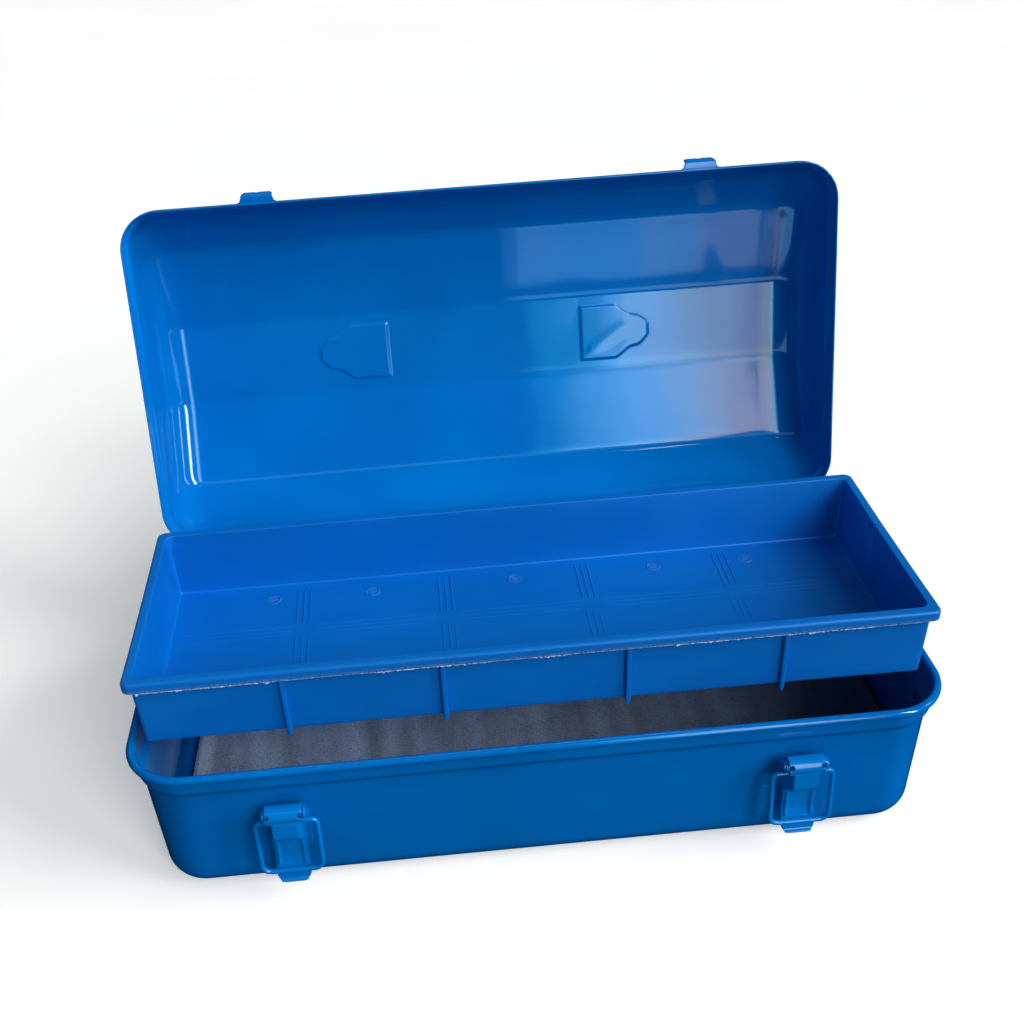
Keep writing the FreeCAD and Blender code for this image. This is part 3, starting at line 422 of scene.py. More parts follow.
# -------------------------------------------------------------------- base
def base_profile():
    """Section of the base from the middle of its outside bottom, round the rim, to the middle of its inside bottom."""
    cc = BASE_CORNER - RIM_R
    wi = cc - RIM_R
    wo = wi + SHEET
    li, lo = wi - LEDGE_IN, wo - LEDGE_IN
    bi, bo = li - WALL_DRAFT, lo - WALL_DRAFT
    fx = bo - BOTTOM_BEND
    zc = BASE_H - RIM_R
    ri = RIM_R - SHEET
    out = [(0.02, 0.0), (fx - 1.0, 0.0)]
    out += [(fx + BOTTOM_BEND * math.sin(a), BOTTOM_BEND - BOTTOM_BEND * math.cos(a)) for a in np.linspace(0, math.pi / 2, 13)]
    wall = rounded([(bo, BOTTOM_BEND), (bo + (lo - bo) * 0.35, 28.0), (bo + (lo - bo) * 0.7, 45.0), (lo, LEDGE_LOW + 0.3), (wo, LEDGE_TOP + 0.3), (wo, zc - 1.0), (wo, zc - 0.4)],
                   [0, 0, 4.6, 4.6, 0])
    out += wall[1:]
    out += [(cc + ri * math.cos(math.radians(t)), zc + ri * math.sin(math.radians(t))) for t in np.linspace(180, -100, 15)]
    out += [(cc + RIM_R * math.cos(math.radians(t)), zc + RIM_R * math.sin(math.radians(t))) for t in np.linspace(-100, 180, 26)]
    inner = rounded([(wi, zc - 0.6), (wi, LEDGE_TOP), (li, LEDGE_LOW), (bi + (li - bi) * 0.7, 45.0), (bi + (li - bi) * 0.35, 28.0), (bi, BOTTOM_BEND)],
                    [4.2, 4.2, 0, 0])
    out += inner
    rb = BOTTOM_BEND - SHEET
    out += [(fx + rb * math.sin(a), BOTTOM_BEND - rb * math.cos(a)) for a in np.linspace(math.pi / 2, 0, 13)][1:]
    out += [(fx - 1.0, SHEET), (0.02, SHEET)]
    return out


def build_base():
    hx, hy = BASE_W / 2 - BASE_CORNER, BASE_D / 2 - BASE_CORNER
    tx, ty = spaced(-1, 1, 61), spaced(-1, 1, 25)
    loops = [loop(hx + x, hy + x, max(x, 0.01), z, tx, ty, 16) for x, z in base_profile()]
    v, f = skin(loops)
    parts = [(v, f)]
    xs = [t * (hx + 0.01) for t in tx]
    ys = [t * (hy + 0.01) for t in ty]
    for z in (0.0, SHEET):
        parts.append(grid([[(x, y, z) for x in xs] for y in ys]))
    v, f = join(parts)
    # the pressed walls are not quite flat
    out = v.copy()
    for i, (x, y, z) in enumerate(v):
        free = smoothstep((z - 4.0) / 16.0) * (1.0 - smoothstep((z - 50.0) / 8.0))
        if free <= 0:
            continue
        if abs(y) > hy + 6 and abs(x) < hx:
            d = 0.16 * free * wander(x, z, 3.0 if y < 0 else 5.0, 55.0) * smoothstep((hx - abs(x)) / 25.0)
            out[i, 1] -= math.copysign(abs(d), y)
        elif abs(x) > hx + 6 and abs(y) < hy:
            d = 0.14 * free * wander(y, z, 8.0 if x < 0 else 9.0, 50.0) * smoothstep((hy - abs(y)) / 20.0)
            out[i, 0] -= math.copysign(abs(d), x)
    # marks the top of the rim bead for paler rubs that also stand as a painted highlight
    edge = np.clip((np.abs(v[:, 2] - (BASE_H - 0.2)) < 0.9) * 1.0, 0, 1)
    return make_piece("base_body", out, f, PAINT_BASE_SHADED, "base", angle=50.0, replaces=("base_shell",), attrs={"edge": edge})


build_base()


# --------------------------------------------------------------------- lid
CX, CY = LID_W / 2 - SHEET - SKIRT_IN - ROOF_R, LID_D / 2 - SHEET - SKIRT_IN - ROOF_R
JOIN_Z = STEP_TOP + 0.8


def roof_path():
    """Half section of the roof's core from the skirt to the middle: points, normals and a flatness tag."""
    lines = [((ROOF[0][0], 0.0), ROOF[0]), (ROOF[0], ROOF[1]), (ROOF[1], ROOF[2]), (ROOF[2], (-ROOF[2][0], ROOF[2][1]))]
    o, normals = [], []
    for (x0, y0), (x1, y1) in lines:
        n = math.hypot(x1 - x0, y1 - y0)
        nx, ny = (y1 - y0) / n, -(x1 - x0) / n
        normals.append((nx, ny))
        o.append(((x0 - nx * ROOF_R, y0 - ny * ROOF_R), (x1 - nx * ROOF_R, y1 - ny * ROOF_R)))
    c = []
    for a, b in zip(o, o[1:]):
        (x1, y1), (x2, y2) = a
        (x3, y3), (x4, y4) = b
        d = (x1 - x2) * (y3 - y4) - (y1 - y2) * (x3 - x4)
        c.append((((x1 * y2 - y1 * x2) * (x3 - x4) - (x1 - x2) * (x3 * y4 - y3 * x4)) / d,
                  ((x1 * y2 - y1 * x2) * (y3 - y4) - (y1 - y2) * (x3 * y4 - y3 * x4)) / d))
    path = []

    def seg(p, q, n, count):
        for t in np.linspace(0, 1, count)[:-1]:
            path.append(((p[0] + (q[0] - p[0]) * t, p[1] + (q[1] - p[1]) * t), n))

    def vertex(p, n0, n1, count):
        a0, a1 = math.atan2(n0[1], n0[0]), math.atan2(n1[1], n1[0])
        for t in np.linspace(0, 1, count)[:-1]:
            a = a0 + (a1 - a0) * t
            path.append((p, (math.cos(a), math.sin(a))))

    seg((CY, JOIN_Z), c[0], normals[0], 4)
    vertex(c[0], normals[0], normals[1], 12)
    seg(c[0], c[1], normals[1], 9)
    vertex(c[1], normals[1], normals[2], 9)
    seg(c[1], c[2], normals[2], 14)
    k3 = len(path)
    vertex(c[2], normals[2], normals[3], 7)
    kt = len(path)
    seg(c[2], (0.0, c[2][1]), normals[3], 36)
    path.append(((0.0, c[2][1]), normals[3]))
    return path, k3, kt, c


def seat_inside(x, y):
    """Signed distance inside the seat's outline, positive within, for the right seat."""
    best, inside = 1e9, False
    n = len(SEAT)
    for i in range(n):
        (x0, y0), (x1, y1) = SEAT[i], SEAT[(i + 1) % n]
        dx, dy = x1 - x0, y1 - y0
        t = max(0.0, min(1.0, ((x - x0) * dx + (y - y0) * dy) / (dx * dx + dy * dy)))
        best = min(best, math.hypot(x - x0 - t * dx, y - y0 - t * dy))
        if (y0 > y) != (y1 > y) and x < x0 + (y - y0) / (y1 - y0) * dx:
            inside = not inside
    return best if inside else -best


def lid_transform(v):
    """From the lid's own shut frame to its place when open."""
    a = math.radians(-OPEN_DEG)
    y = v[:, 1] - HINGE_Y
    z = v[:, 2] + LID_Z - HINGE_Z
    out = v.copy()
    out[:, 1] = HINGE_Y + y * math.cos(a) - z * math.sin(a)
    out[:, 2] = HINGE_Z + y * math.sin(a) + z * math.cos(a)
    return out


def lid_surface(r, tx, ty, na, seats):
    half, k3, kt, c = roof_path()
    # front side mirrors the back; rows run from the front skirt over the roof to the back skirt
    front = [((-p[0], p[1]), (-n[0], n[1])) for p, n in half]
    rows_def = front + list(reversed(half[:-1]))
    xs = [t * CX for t in tx]
    th = [math.radians(90.0 * i / na) for i in range(1, na + 1)]
    rows = []
    for (q, n) in rows_def:
        row = []
        for t in reversed(th):
            row.append((-CX - r * math.sin(t), q[0] + r * n[0] * math.cos(t), q[1] + r * n[1] * math.cos(t)))
        for x in xs:
            row.append((x, q[0] + r * n[0], q[1] + r * n[1]))
        for t in th:
            row.append((CX + r * math.sin(t), q[0] + r * n[0] * math.cos(t), q[1] + r * n[1] * math.cos(t)))
        rows.append(row)
    v, f = grid(rows)
    nrm = []
    for (q, n) in rows_def:
        nrm += [(0.0, n[0], n[1])] * (len(xs) + 2 * na)
    nrm = np.array(nrm)
    v = v.copy()
    for i in range(len(v)):
        x, y, z = v[i]
        if abs(x) > CX + 6 or z < 16.0:
            continue
        d = 0.0
        if seats and z > ROOF[2][1] - 2.0 and 48.0 < abs(x) < 97.0 and abs(y) < 21.0:
            s = seat_inside(abs(x), y)
            d -= SEAT_DEPTH * smoothstep((s + 0.9) / 1.5)
            if s > 0.8:
                # the pressing's floor buckles a little along a lazy diagonal
                ax = x - 73.0 if x > 0 else x + 72.0
                bend = ax * 0.72 + y * 0.66 + 3.2 * math.sin(y / 5.5)
                lump = math.exp(-(bend / 4.4) ** 2) - 0.35 * math.exp(-((bend - 8.0) / 5.0) ** 2)
                d -= (0.11 if x > 0 else 0.05) * lump * smoothstep((s - 0.8) / 5.0)
        free = smoothstep((CX + 6 - abs(x)) / 40.0) * smoothstep((z - 18.0) / 14.0)
        d -= abs(0.22 * free * wander(x, y, 2.0, 62.0))
        v[i] += nrm[i] * d
    parts = [(v, f)]
    # flat end walls
    nseg = kt - 0
    for sx in (1, -1):
        fill = []
        top = [p for p, n in half[kt:]]
        ys_top = [-p[0] for p in top] + [p[0] for p in reversed(top[:-1])]
        lim = ys_top[-1]
        seen = None
        for (q, n) in half[:kt + 1]:
            if seen is not None and abs(q[0] - seen[0]) + abs(q[1] - seen[1]) < 1e-9:
                continue
            seen = q
            fill.append([(sx * (CX + r), y / lim * q[0], q[1]) for y in ys_top])
        parts.append(grid(fill))
    return parts, rows_def, xs


def build_lid():
    dense = [s * t for s, t in [(1, u) for u in np.arange(50.0, 94.6, 0.45)]]
    right = sorted(set([0.0, 8.0, 16.0, 24.0, 32.0, 40.0, 46.0] + list(np.round(dense, 3)) + [98.0, 104.0, 112.0, 120.0, 128.0, 136.0, 144.0, 152.0, CX]))
    tx = [-x / CX for x in reversed(right[1:])] + [x / CX for x in right]
    na = 12
    inner, rows_def, xs = lid_surface(ROOF_R, tx, None, na, True)
    outer, _, _ = lid_surface(ROOF_R + SHEET, tx, None, na, True)
    # skirt: from the roof's foot down the joggle, round the hem and back up
    half, k3, kt, c = roof_path()
    top = [p for p, n in half[kt:]]
    ys_top = [-p[0] for p in top] + [p[0] for p in reversed(top[:-1])]
    ty = [y / ys_top[-1] for y in ys_top]
    so = ROOF_R + SHEET + SKIRT_IN
    hem = 0.52
    prof = rounded([(ROOF_R, JOIN_Z), (ROOF_R, STEP_TOP), (so - SHEET, STEP_LOW), (so - SHEET, 1.2), (so - SHEET - 0.12, 0.5)], [1.9, 1.9, 0.8])
    mid = so - SHEET / 2 - 0.06
    prof += [(mid + (hem - 0.06) * math.cos(a), 0.46 + 0.46 * math.sin(a)) for a in np.linspace(math.pi, 2 * math.pi, 9)]
    prof += rounded([(so, 0.5), (so, STEP_LOW + 0.25), (ROOF_R + SHEET, STEP_TOP + 0.25), (ROOF_R + SHEET, JOIN_Z)], [1.9, 1.9])
    loops = [loop(CX + d, CY + d, d, z, tx, ty, na) for d, z in prof]
    parts = inner + outer + [skin(loops)]
    v, f = join(parts)
    # marks the lid's hem for paler rubs that also stand as a painted highlight
    edge = (v[:, 2] < 0.9) * 0.8
    v = lid_transform(v)
    return make_piece("lid_body", v, f, PAINT, "lid", angle=50.0, weld=0.006, replaces=("lid_shell",), attrs={"edge": edge})


build_lid()


# -------------------------------------------------------------------- tray
def build_tray():
    hx, hy = TRAY_W / 2, TRAY_D / 2
    fl = -TRAY_H + 1.7
    tx, ty = spaced(-1, 1, 121), spaced(-1, 1, 41)
    na = 8

    def inset(z):
        """Draft of the walls: how far they lean in at a height."""
        return 1.2 * (-z / TRAY_H)
    # (inset from the rim's outer face, height, corner radius)
    prof = []
    io = TRAY_RIM + TRAY_WALL
    floor_in = io + inset(fl)
    # floor, from near the middle out
    for k in np.linspace(0.0, 1.0, 9)[:-1]:
        prof.append((hy - 0.4 - (hy - 0.4 - floor_in - 1.3) * k, fl, 0.25 + 0.6 * k))
    prof += [(floor_in + 1.3 - 1.2 * math.sin(a), fl + 1.2 - 1.2 * math.cos(a), 0.9 + 0.3 * math.sin(a)) for a in np.linspace(0, math.pi / 2, 6)]
    for z in (-28.0, -22.0, -16.0, -10.0, -5.0, -2.0):
        prof.append((io + inset(z), z, 1.3))
    prof += [(io - 0.45 * (1 - math.cos(a)), -0.45 + 0.45 * math.sin(a), 1.5) for a in np.linspace(0, math.pi / 2, 5)]
    prof += [(io - 1.4, 0.0, 1.6), (1.55, -0.02, 1.4)]
    prof += [(1.45 - 1.45 * math.sin(a), -1.45 + 1.45 * math.cos(a), 1.1 + 0.5 * math.sin(a)) for a in np.linspace(0.1, math.pi / 2, 7)]
    prof += [(0.02, -3.0, 1.5), (0.05, -4.7, 1.5), (0.25, -5.0, 1.4), (1.0, -5.0, 1.2), (1.25, -4.8, 1.1), (1.4, -3.0, 1.0), (1.5, -1.8, 1.0), (TRAY_RIM - 0.2, -1.75, 0.9)]
    for z in (-3.0, -8.0, -14.0, -20.0, -26.0, -31.0):
        prof.append((TRAY_RIM + inset(z), z, 2.2))
    bi = TRAY_RIM + inset(-TRAY_H)
    prof += [(bi + 1.4 - 1.4 * math.cos(a), -TRAY_H + 1.4 - 1.4 * math.sin(a), 2.2 - 0.6 * math.sin(a)) for a in np.linspace(0, math.pi / 2, 6)]
    for k in np.linspace(0.0, 1.0, 7)[1:]:
        prof.append((bi + 1.4 + (hy - 0.4 - bi - 1.4) * k, -TRAY_H, 1.6 - 1.35 * k))
    loops = [loop(hx - i, hy - i, min(r + (2.2 if i < 6.0 and z > -6.0 else 0.0), hy - i - 0.05), z, tx, ty, na) for i, z, r in prof]
    v, f = skin(loops)
    w = hx - hy + 0.4
    parts = [(v, f)]
    for z in (fl, -TRAY_H):
        parts.append(grid([[(t * (w - 0.25), y, z) for t in tx] for y in (-0.15, 0.15)]))
    v, f = join(parts[:1])
    n = len(loops[0])
    # close the narrow slots left in the middle of the floor and the bottom
    faces = list(f)
    for base in (0, (len(loops) - 1) * n):
        front = [base + i for i in range(len(tx))]
        right = [base + len(tx) + i for i in range(na - 1 + len(ty) + na - 1)]
        back0 = base + len(tx) + (na - 1) + len(ty) + (na - 1)
        back = [back0 + i for i in range(len(tx))]
        for i in range(len(tx) - 1):
            faces.append((front[i], front[i + 1], back[len(tx) - 2 - i], back[len(tx) - 1 - i]))
        faces.append(tuple([front[-1]] + right + [back[0]]))
        left0 = back0 + len(tx)
        left = [left0 + i for i in range(na - 1 + len(ty) + na - 1)]
        faces.append(tuple([back[-1]] + left + [front[0]]))
    # moulding shrinkage bows the long walls in a little and lifts the middle of the floor
    v = v.copy()
    stress = np.zeros(len(v))
    for i, (x, y, z) in enumerate(v):
        mid = 1.0 - (x / hx) ** 2
        if abs(y) > hy - 8:
            low = smoothstep((-z) / 20.0)
            v[i, 1] -= math.copysign(0.55 * mid * (0.35 + 0.65 * low), y)
        if abs(x) > hx - 8:
            v[i, 0] -= math.copysign(0.35 * (1.0 - (y / hy) ** 2), x)
        if z < -TRAY_H + 3.0:
            v[i, 2] += 0.25 * mid * (1.0 - (y / hy) ** 2)
        if z > -5.2:
            v[i, 2] -= 0.22 * abs(wander(x, y, 4.0, 45.0))
        if -5.3 < z < -4.4 and abs(y) > hy - 0.8:
            stress[i] = 0.18
    v[:, 1] += TRAY_Y
    v[:, 2] += TRAY_TOP
    return make_piece("tray_body", v, faces, PLASTIC, "tray", angle=42.0, replaces=("lift_out_tray",), attrs={"stress": stress})


build_tray()


def bar(x0, x1, w, h, lift, axis, at, z, n=40, sag=None):
    """A slim raised line with a rounded back, lying on the tray's floor."""
    rows = []
    sec = [(-w / 2, -0.25), (-w / 2, h * 0.45), (-w * 0.28, h * 0.92), (0.0, h), (w * 0.28, h * 0.92), (w / 2, h * 0.45), (w / 2, -0.25)]
    for t in np.linspace(x0, x1, n):
        end = min(1.0, (min(t - x0, x1 - t) + 0.02) / 0.8)
        row = []
        for a, b in sec:
            p = (t, at + a) if axis == "x" else (at + a, t)
            hh = b * (end if b > 0 else 1.0)
            lz = lift(p[0], p[1]) if lift else 0.0
            row.append((p[0], p[1], z + hh + lz))
        rows.append(row)
    return grid(rows)


def build_tray_marks():
    hx, hy = TRAY_W / 2, TRAY_D / 2
    fl = TRAY_TOP - TRAY_H + 1.7

    def lift(x, y):
        return 0.25 * (1.0 - (x / hx) ** 2) * (1.0 - ((y - TRAY_Y) / hy) ** 2) - 0.02
    ix, iy = hx - TRAY_RIM - TRAY_WALL - 4.0, hy - TRAY_RIM - TRAY_WALL - 4.0
    parts = []
    for x in TRAY_LINES:
        for d in (-3.0, 0.0, 3.0):
            parts.append(bar(TRAY_Y + TRAY_CROSS + 4.6, TRAY_Y + iy - 3.0, 0.9, 0.28, lift, "y", x + d, fl))
            parts.append(bar(TRAY_Y - iy + 6.0, TRAY_Y + TRAY_CROSS - 4.6, 0.9, 0.15, lift, "y", x + d, fl))
    stops = [-ix] + [x for r in TRAY_LINES for x in (r - 5.2, r + 5.2)] + [ix]
    for d in (-3.0, 0.0, 3.0):
        for a, b in zip(stops[0::2], stops[1::2]):
            parts.append(bar(a, b, 0.9, 0.22, lift, "x", TRAY_Y + TRAY_CROSS + d, fl, 50))
    v, f = join(parts)
    make_piece("tray_floor_lines", v, f, PLASTIC, "tray", angle=60.0, weld=0.0, attrs={"stress": np.full(len(v), 0.0)})
    # witness marks of the ejector pins: a low uneven ring with a torn lip
    parts, st = [], []
    rng = np.random.RandomState(11)
    for x in (-119.0, -70.0, 0.5, 70.0, 116.5):
        for y in (-39.5, 40.5):
            ph = rng.uniform(0, 6.28)
            rows = []
            for t in np.linspace(0, 2 * math.pi, 49):
                lip = 0.16 + 0.26 * max(0.0, math.cos(t - ph)) ** 2 + 0.05 * math.sin(5 * t + ph)
                row = []
                for rr, hh in ((2.5, -0.12), (2.75, lip * 0.5), (3.05, lip), (3.35, lip * 0.72), (3.7, -0.12)):
                    rr2 = rr + 0.18 * math.sin(3 * t + ph)
                    px, py = x + rr2 * math.cos(t), TRAY_Y + y * 0.97 + rr2 * math.sin(t)
                    row.append((px, py, fl + hh + lift(px, py)))
                rows.append(row)
            g = grid(rows)
            parts.append(g)
            st.append(np.full(len(g[0]), 0.30))
            # the shallow disc inside it
            rows = []
            for rr in np.linspace(0.05, 2.7, 5):
                rows.append([(x + rr * math.cos(t), TRAY_Y + y * 0.97 + rr * math.sin(t),
                              fl + 0.05 + 0.05 * math.cos(rr * 1.1) + lift(x, TRAY_Y + y)) for t in np.linspace(0, 2 * math.pi, 33)])
            g = grid(rows)
            parts.append(g)
            st.append(np.full(len(g[0]), 0.12))
    v, f = join(parts)
    make_piece("tray_pin_marks", v, f, PLASTIC, "tray", angle=60.0, weld=0.001, attrs={"stress": np.zeros(len(v)) + 0.05})


build_tray_marks()


def build_tray_ribs():
    """Slim fins on the long walls, from under the lip to just past the bottom."""
    hx, hy = TRAY_W / 2, TRAY_D / 2
    parts, st = [], []
    for x in TRAY_RIBS:
        for s in (1, -1):
            rows = []
            for z in np.linspace(-4.2, -TRAY_H - 2.0, 26):
                wall = hy - TRAY_RIM - 1.2 * (-z / TRAY_H) - 0.55 * (1.0 - (x / hx) ** 2) * (0.35 + 0.65 * float(smoothstep(-z / 20.0)))
                out = min(hy - TRAY_RIM + 1.75, wall + 2.1)
                foot = 1.0 - 0.5 * float(smoothstep((-z - TRAY_H - 1.2) / 0.8))
                if z < -TRAY_H:
                    wall = wall - 0.2
                w = 1.15 * foot
                row = [(x - w, s * (wall - 0.6), z), (x - w, s * (out - 0.75), z), (x - w * 0.72, s * (out - 0.2), z), (x, s * out, z),
                       (x + w * 0.72, s * (out - 0.2), z), (x + w, s * (out - 0.75), z), (x + w, s * (wall - 0.6), z)]
                rows.append(row)
            v, f = grid(rows)
            n = len(rows[0])
            f = list(f) + [tuple(range(n)), tuple(reversed(range(len(v) - n, len(v))))]
            f += [(i * n, (i + 1) * n, (i + 1) * n + n - 1, i * n + n - 1) for i in range(len(rows) - 1)]
            parts.append((v, f))
        # low bar that joins the two fins across the underside
        rows = []
        for y in np.linspace(-hy + 5.0, hy - 5.0, 30):
            rows.append([(x - 0.8, y, -TRAY_H + 0.6), (x - 0.75, y, -TRAY_H - 0.6), (x - 0.4, y, -TRAY_H - 0.8), (x + 0.4, y, -TRAY_H - 0.8),
                         (x + 0.75, y, -TRAY_H - 0.6), (x + 0.8, y, -TRAY_H + 0.6)])
        parts.append(grid(rows))
    v, f = join(parts)
    v = v.copy()
    v[:, 1] += TRAY_Y
    v[:, 2] += TRAY_TOP
    make_piece("tray_ribs", v, f, PLASTIC, "tray", angle=45.0, weld=0.002, attrs={"stress": np.zeros(len(v))})


build_tray_ribs()


def build_tray_flash():
    """Ragged parting flash along the lip's lower edge, stress-whitened, and small burrs on the ends."""
    hx, hy = TRAY_W / 2, TRAY_D / 2
    parts, st = [], []

    def strip(points, outward, seed, low, high, gaps, fade=6.0):
        rows = []
        vals = []
        for i, (x, y, z) in enumerate(points):
            a = abs(noise.noise(Vector((i * 0.11 + seed, seed * 2.3, 0.5))))
            b = abs(noise.noise(Vector((i * 0.53 + seed, 4.0 - seed, 1.5))))
            c = noise.noise(Vector((i * 0.021 + seed, 9.0, seed)))
            on = float(smoothstep((c + gaps) / 0.22))
            h = (low + high * (0.35 * a + 0.9 * b * b * 2.0)) * on
            ends = min(1.0, min(i, len(points) - 1 - i) / fade)
            h *= ends
            t = 0.16
            lean = 0.25 * h + 0.1 * noise.noise(Vector((i * 0.3, seed, 7.0)))
            ox, oy = outward
            rows.append([(x - ox * 0.30, y - oy * 0.30, z + 0.25), (x - ox * (t - lean), y - oy * (t - lean), z - h * 0.5),
                         (x + ox * lean, y + oy * lean, z - h), (x + ox * (t + lean * 0.6), y + oy * (t + lean * 0.6), z - h * 0.45),
                         (x + ox * 0.12, y + oy * 0.12, z + 0.30)])
            vals += [0.6, 1.0, 1.0, 0.95, 0.55]
        g = grid(rows)
        parts.append(g)
        st.append(np.array(vals) * 1.0)

    def bow(x):
        return 0.55 * (1.0 - (x / hx) ** 2) * 0.45
    xs = np.arange(-hx + 3.0, hx - 8.0, 0.55)
    pts = [(x, TRAY_Y - hy + 0.28 + bow(x), TRAY_TOP - TRAY_LIP + 0.05 - 0.22 * abs(wander(x, -hy, 4.0, 45.0))) for x in xs]
    strip(pts, (0, -1), 1.3, 0.16, 0.95, 0.18)
    xs = np.arange(hx - 3.0, -hx + 3.0, -0.8)
    pts = [(x, TRAY_Y + hy - 0.28 - bow(x), TRAY_TOP - TRAY_LIP + 0.05 - 0.22 * abs(wander(x, hy, 4.0, 45.0))) for x in xs]
    strip(pts, (0, 1), 5.1, 0.05, 0.5, -0.02)
    for sx, seed in ((1, 7.7), (-1, 8.9)):
        ys = np.arange(-hy + 3.0, hy - 3.0, 0.6)
        pts = [(sx * (hx - 0.28 - 0.35 * (1.0 - (y / hy) ** 2)), TRAY_Y + y, TRAY_TOP - TRAY_LIP + 0.05 - 0.22 * abs(wander(sx * hx, y, 4.0, 45.0))) for y in ys]
        strip(pts, (sx, 0), seed, 0.05, 0.6, 0.02)
    v, f = join(parts)
    make_piece("tray_lip_flash", v, f, PLASTIC, "tray", angle=55.0, weld=0.0, attrs={"stress": np.concatenate(st)})


build_tray_flash()


# ------------------------------------------------------------------- liner
def build_liner():
    """One soft sheet, longer than the floor: its left end lifts, its right end climbs the wall."""
    t = 2.0
    z0 = SHEET + 0.45
    x_flat = 156.0
    rows_top, rows_bot = [], []
    ny = 150
    nx = 440
    left_end, right_end = 13.2, 31.0
    length = 2 * x_flat + left_end + right_end
    R = 10.0
    ys = np.linspace(-66.0, 66.0, ny)
    for y in ys:
        top, bot = [], []
        # scalloped cut at the left end
        cut = 0.75 * abs(math.sin(math.pi * y / 3.4)) + 0.8 * wander(y, 1.0, 6.0, 40.0)
        rise = 1.3 * wander(y, 5.0, 9.0, 45.0)
        for k in range(nx):
            s = -x_flat - left_end + cut * (1 - k / (nx - 1.0)) + length * k / (nx - 1.0)
            wave = 0.30 * math.sin(s * 2 * math.pi / 15.5 + 0.9 * wander(s, y, 3.0, 60.0) + 0.25 * math.sin(y / 21.0))
            wave += 0.55 * wander(s, y, 12.0, 30.0)
            wave *= 0.85
            if s < -x_flat:
                # free end curling up off the floor
                a = (-x_flat - s) / R
                x = -x_flat - R * math.sin(a)
                z = R * (1 - math.cos(a))
                nrm = (math.sin(a), math.cos(a))
            elif s > x_flat:
                # the other end climbs the wall
                u = s - x_flat
                a = min(u / R, 1.43)
                up = max(0.0, u - 1.43 * R) * (1.0 + 0.04 * rise)
                x = x_flat + R * math.sin(a) + up * math.cos(1.43)
                z = R * (1 - math.cos(a)) + up * math.sin(1.43)
                nrm = (-math.sin(a), math.cos(a))
            else:
                x, z, nrm = s, 0.0, (0.0, 1.0)
            w = wave + 0.35
            px, pz = x + nrm[0] * max(w, 0.0), z0 + z + nrm[1] * max(w, 0.0)
            bot.append((px, y, pz))
            top.append((px + nrm[0] * t, y, pz + nrm[1] * t))
        rows_top.append(top)
        rows_bot.append(bot)
    vt, ft = grid(rows_top)
    vb, fb = grid(rows_bot)
    v, f = join([(vt, ft), (vb, fb)])
    n = nx * ny
    rim = []
    for j in range(nx - 1):
        rim.append((j, j + 1, n + j + 1, n + j))
        a = (ny - 1) * nx
        rim.append((a + j, a + j + 1, n + a + j + 1, n + a + j))
    for i in range(ny - 1):
        rim.append((i * nx, (i + 1) * nx, n + (i + 1) * nx, n + i * nx))
        a = nx - 1
        rim.append((i * nx + a, (i + 1) * nx + a, n + (i + 1) * nx + a, n + i * nx + a))
    ob = make_piece("floor_felt", v, list(f) + rim, FELT, "base", angle=60.0, weld=0.0, replaces=("floor_liner",))
    return ob


build_liner()


# ---------------------------------------------------- small pressed fittings
def soften(node, name, mat, body, voxel=0.28, smooth=3, keep=0.35):
    """A painted copy of a small CAD fitting: its edges softened as a coat of paint leaves them."""
    src = NODES[node]
    me = src.data.copy()
    bm = bmesh.new()
    bm.from_mesh(me)
    bmesh.ops.remove_doubles(bm, verts=bm.verts, dist=2e-6)
    bmesh.ops.recalc_face_normals(bm, faces=bm.faces)
    bm.to_mesh(me)
    bm.free()
    tmp = bpy.data.objects.new(name + "_tmp", me)
    bpy.context.scene.collection.objects.link(tmp)
    m = tmp.modifiers.new("voxel", "REMESH")
    m.mode = "VOXEL"
    m.voxel_size = voxel * MM
    m.adaptivity = 0.0
    m.use_smooth_shade = True
    s = tmp.modifiers.new("smooth", "SMOOTH")
    s.factor = 0.5
    s.iterations = smooth
    d = tmp.modifiers.new("thin", "DECIMATE")
    d.ratio = keep
    dg = bpy.context.evaluated_depsgraph_get()
    dg.update()
    out = bpy.data.meshes.new_from_object(tmp.evaluated_get(dg))
    bpy.data.objects.remove(tmp)
    bpy.data.meshes.remove(me)
    out.name = name
    out.materials.clear()
    out.materials.append(mat)
    out.polygons.foreach_set("use_smooth", [True] * len(out.polygons))
    out.set_sharp_from_angle(angle=math.radians(55))
    ob = bpy.data.objects.new(name, out)
    bpy.context.scene.collection.objects.link(ob)
    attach(ob, body)
    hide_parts(node)
    return ob


for side in ("left", "right"):
    soften(side + "_latch_lever", side + "_lever_pressing", PAINT_FIT, side + "_lever", 0.24, 3, 0.4)
    soften(side + "_latch_bail", side + "_bail_wire", PAINT_FIT, side + "_bail", 0.26, 2, 0.4)
    soften(side + "_latch_bracket", side + "_latch_plate", PAINT_FIT, "base", 0.28, 3, 0.3)
    soften(side + "_strike", side + "_strike_hook", PAINT, "lid", 0.20, 2, 0.5)
    soften(side + "_hinge_base_leaf", side + "_hinge_lower_leaf", PAINT_FIT, "base", 0.28, 3, 0.3)
    soften(side + "_hinge_lid_leaf", side + "_hinge_upper_leaf", PAINT_FIT, "lid", 0.28, 3, 0.3)
    soften(side + "_handle_bracket", side + "_handle_plate", PAINT_FIT, "lid", 0.28, 3, 0.3)
    for n in ("_hinge_pin", "_latch_pin", "_handle_rivet"):
        ob = NODES[side + n]
        ob.data.materials.clear()
        ob.data.materials.append(PAINT_FIT if n == "_latch_pin" else ZINC)
        ob.data.polygons.foreach_set("use_smooth", [True] * len(ob.data.polygons))
        ob.data.set_sharp_from_angle(angle=math.radians(40))
soften("carry_handle", "handle_strap", PAINT_FIT, "handle", 0.34, 3, 0.4)


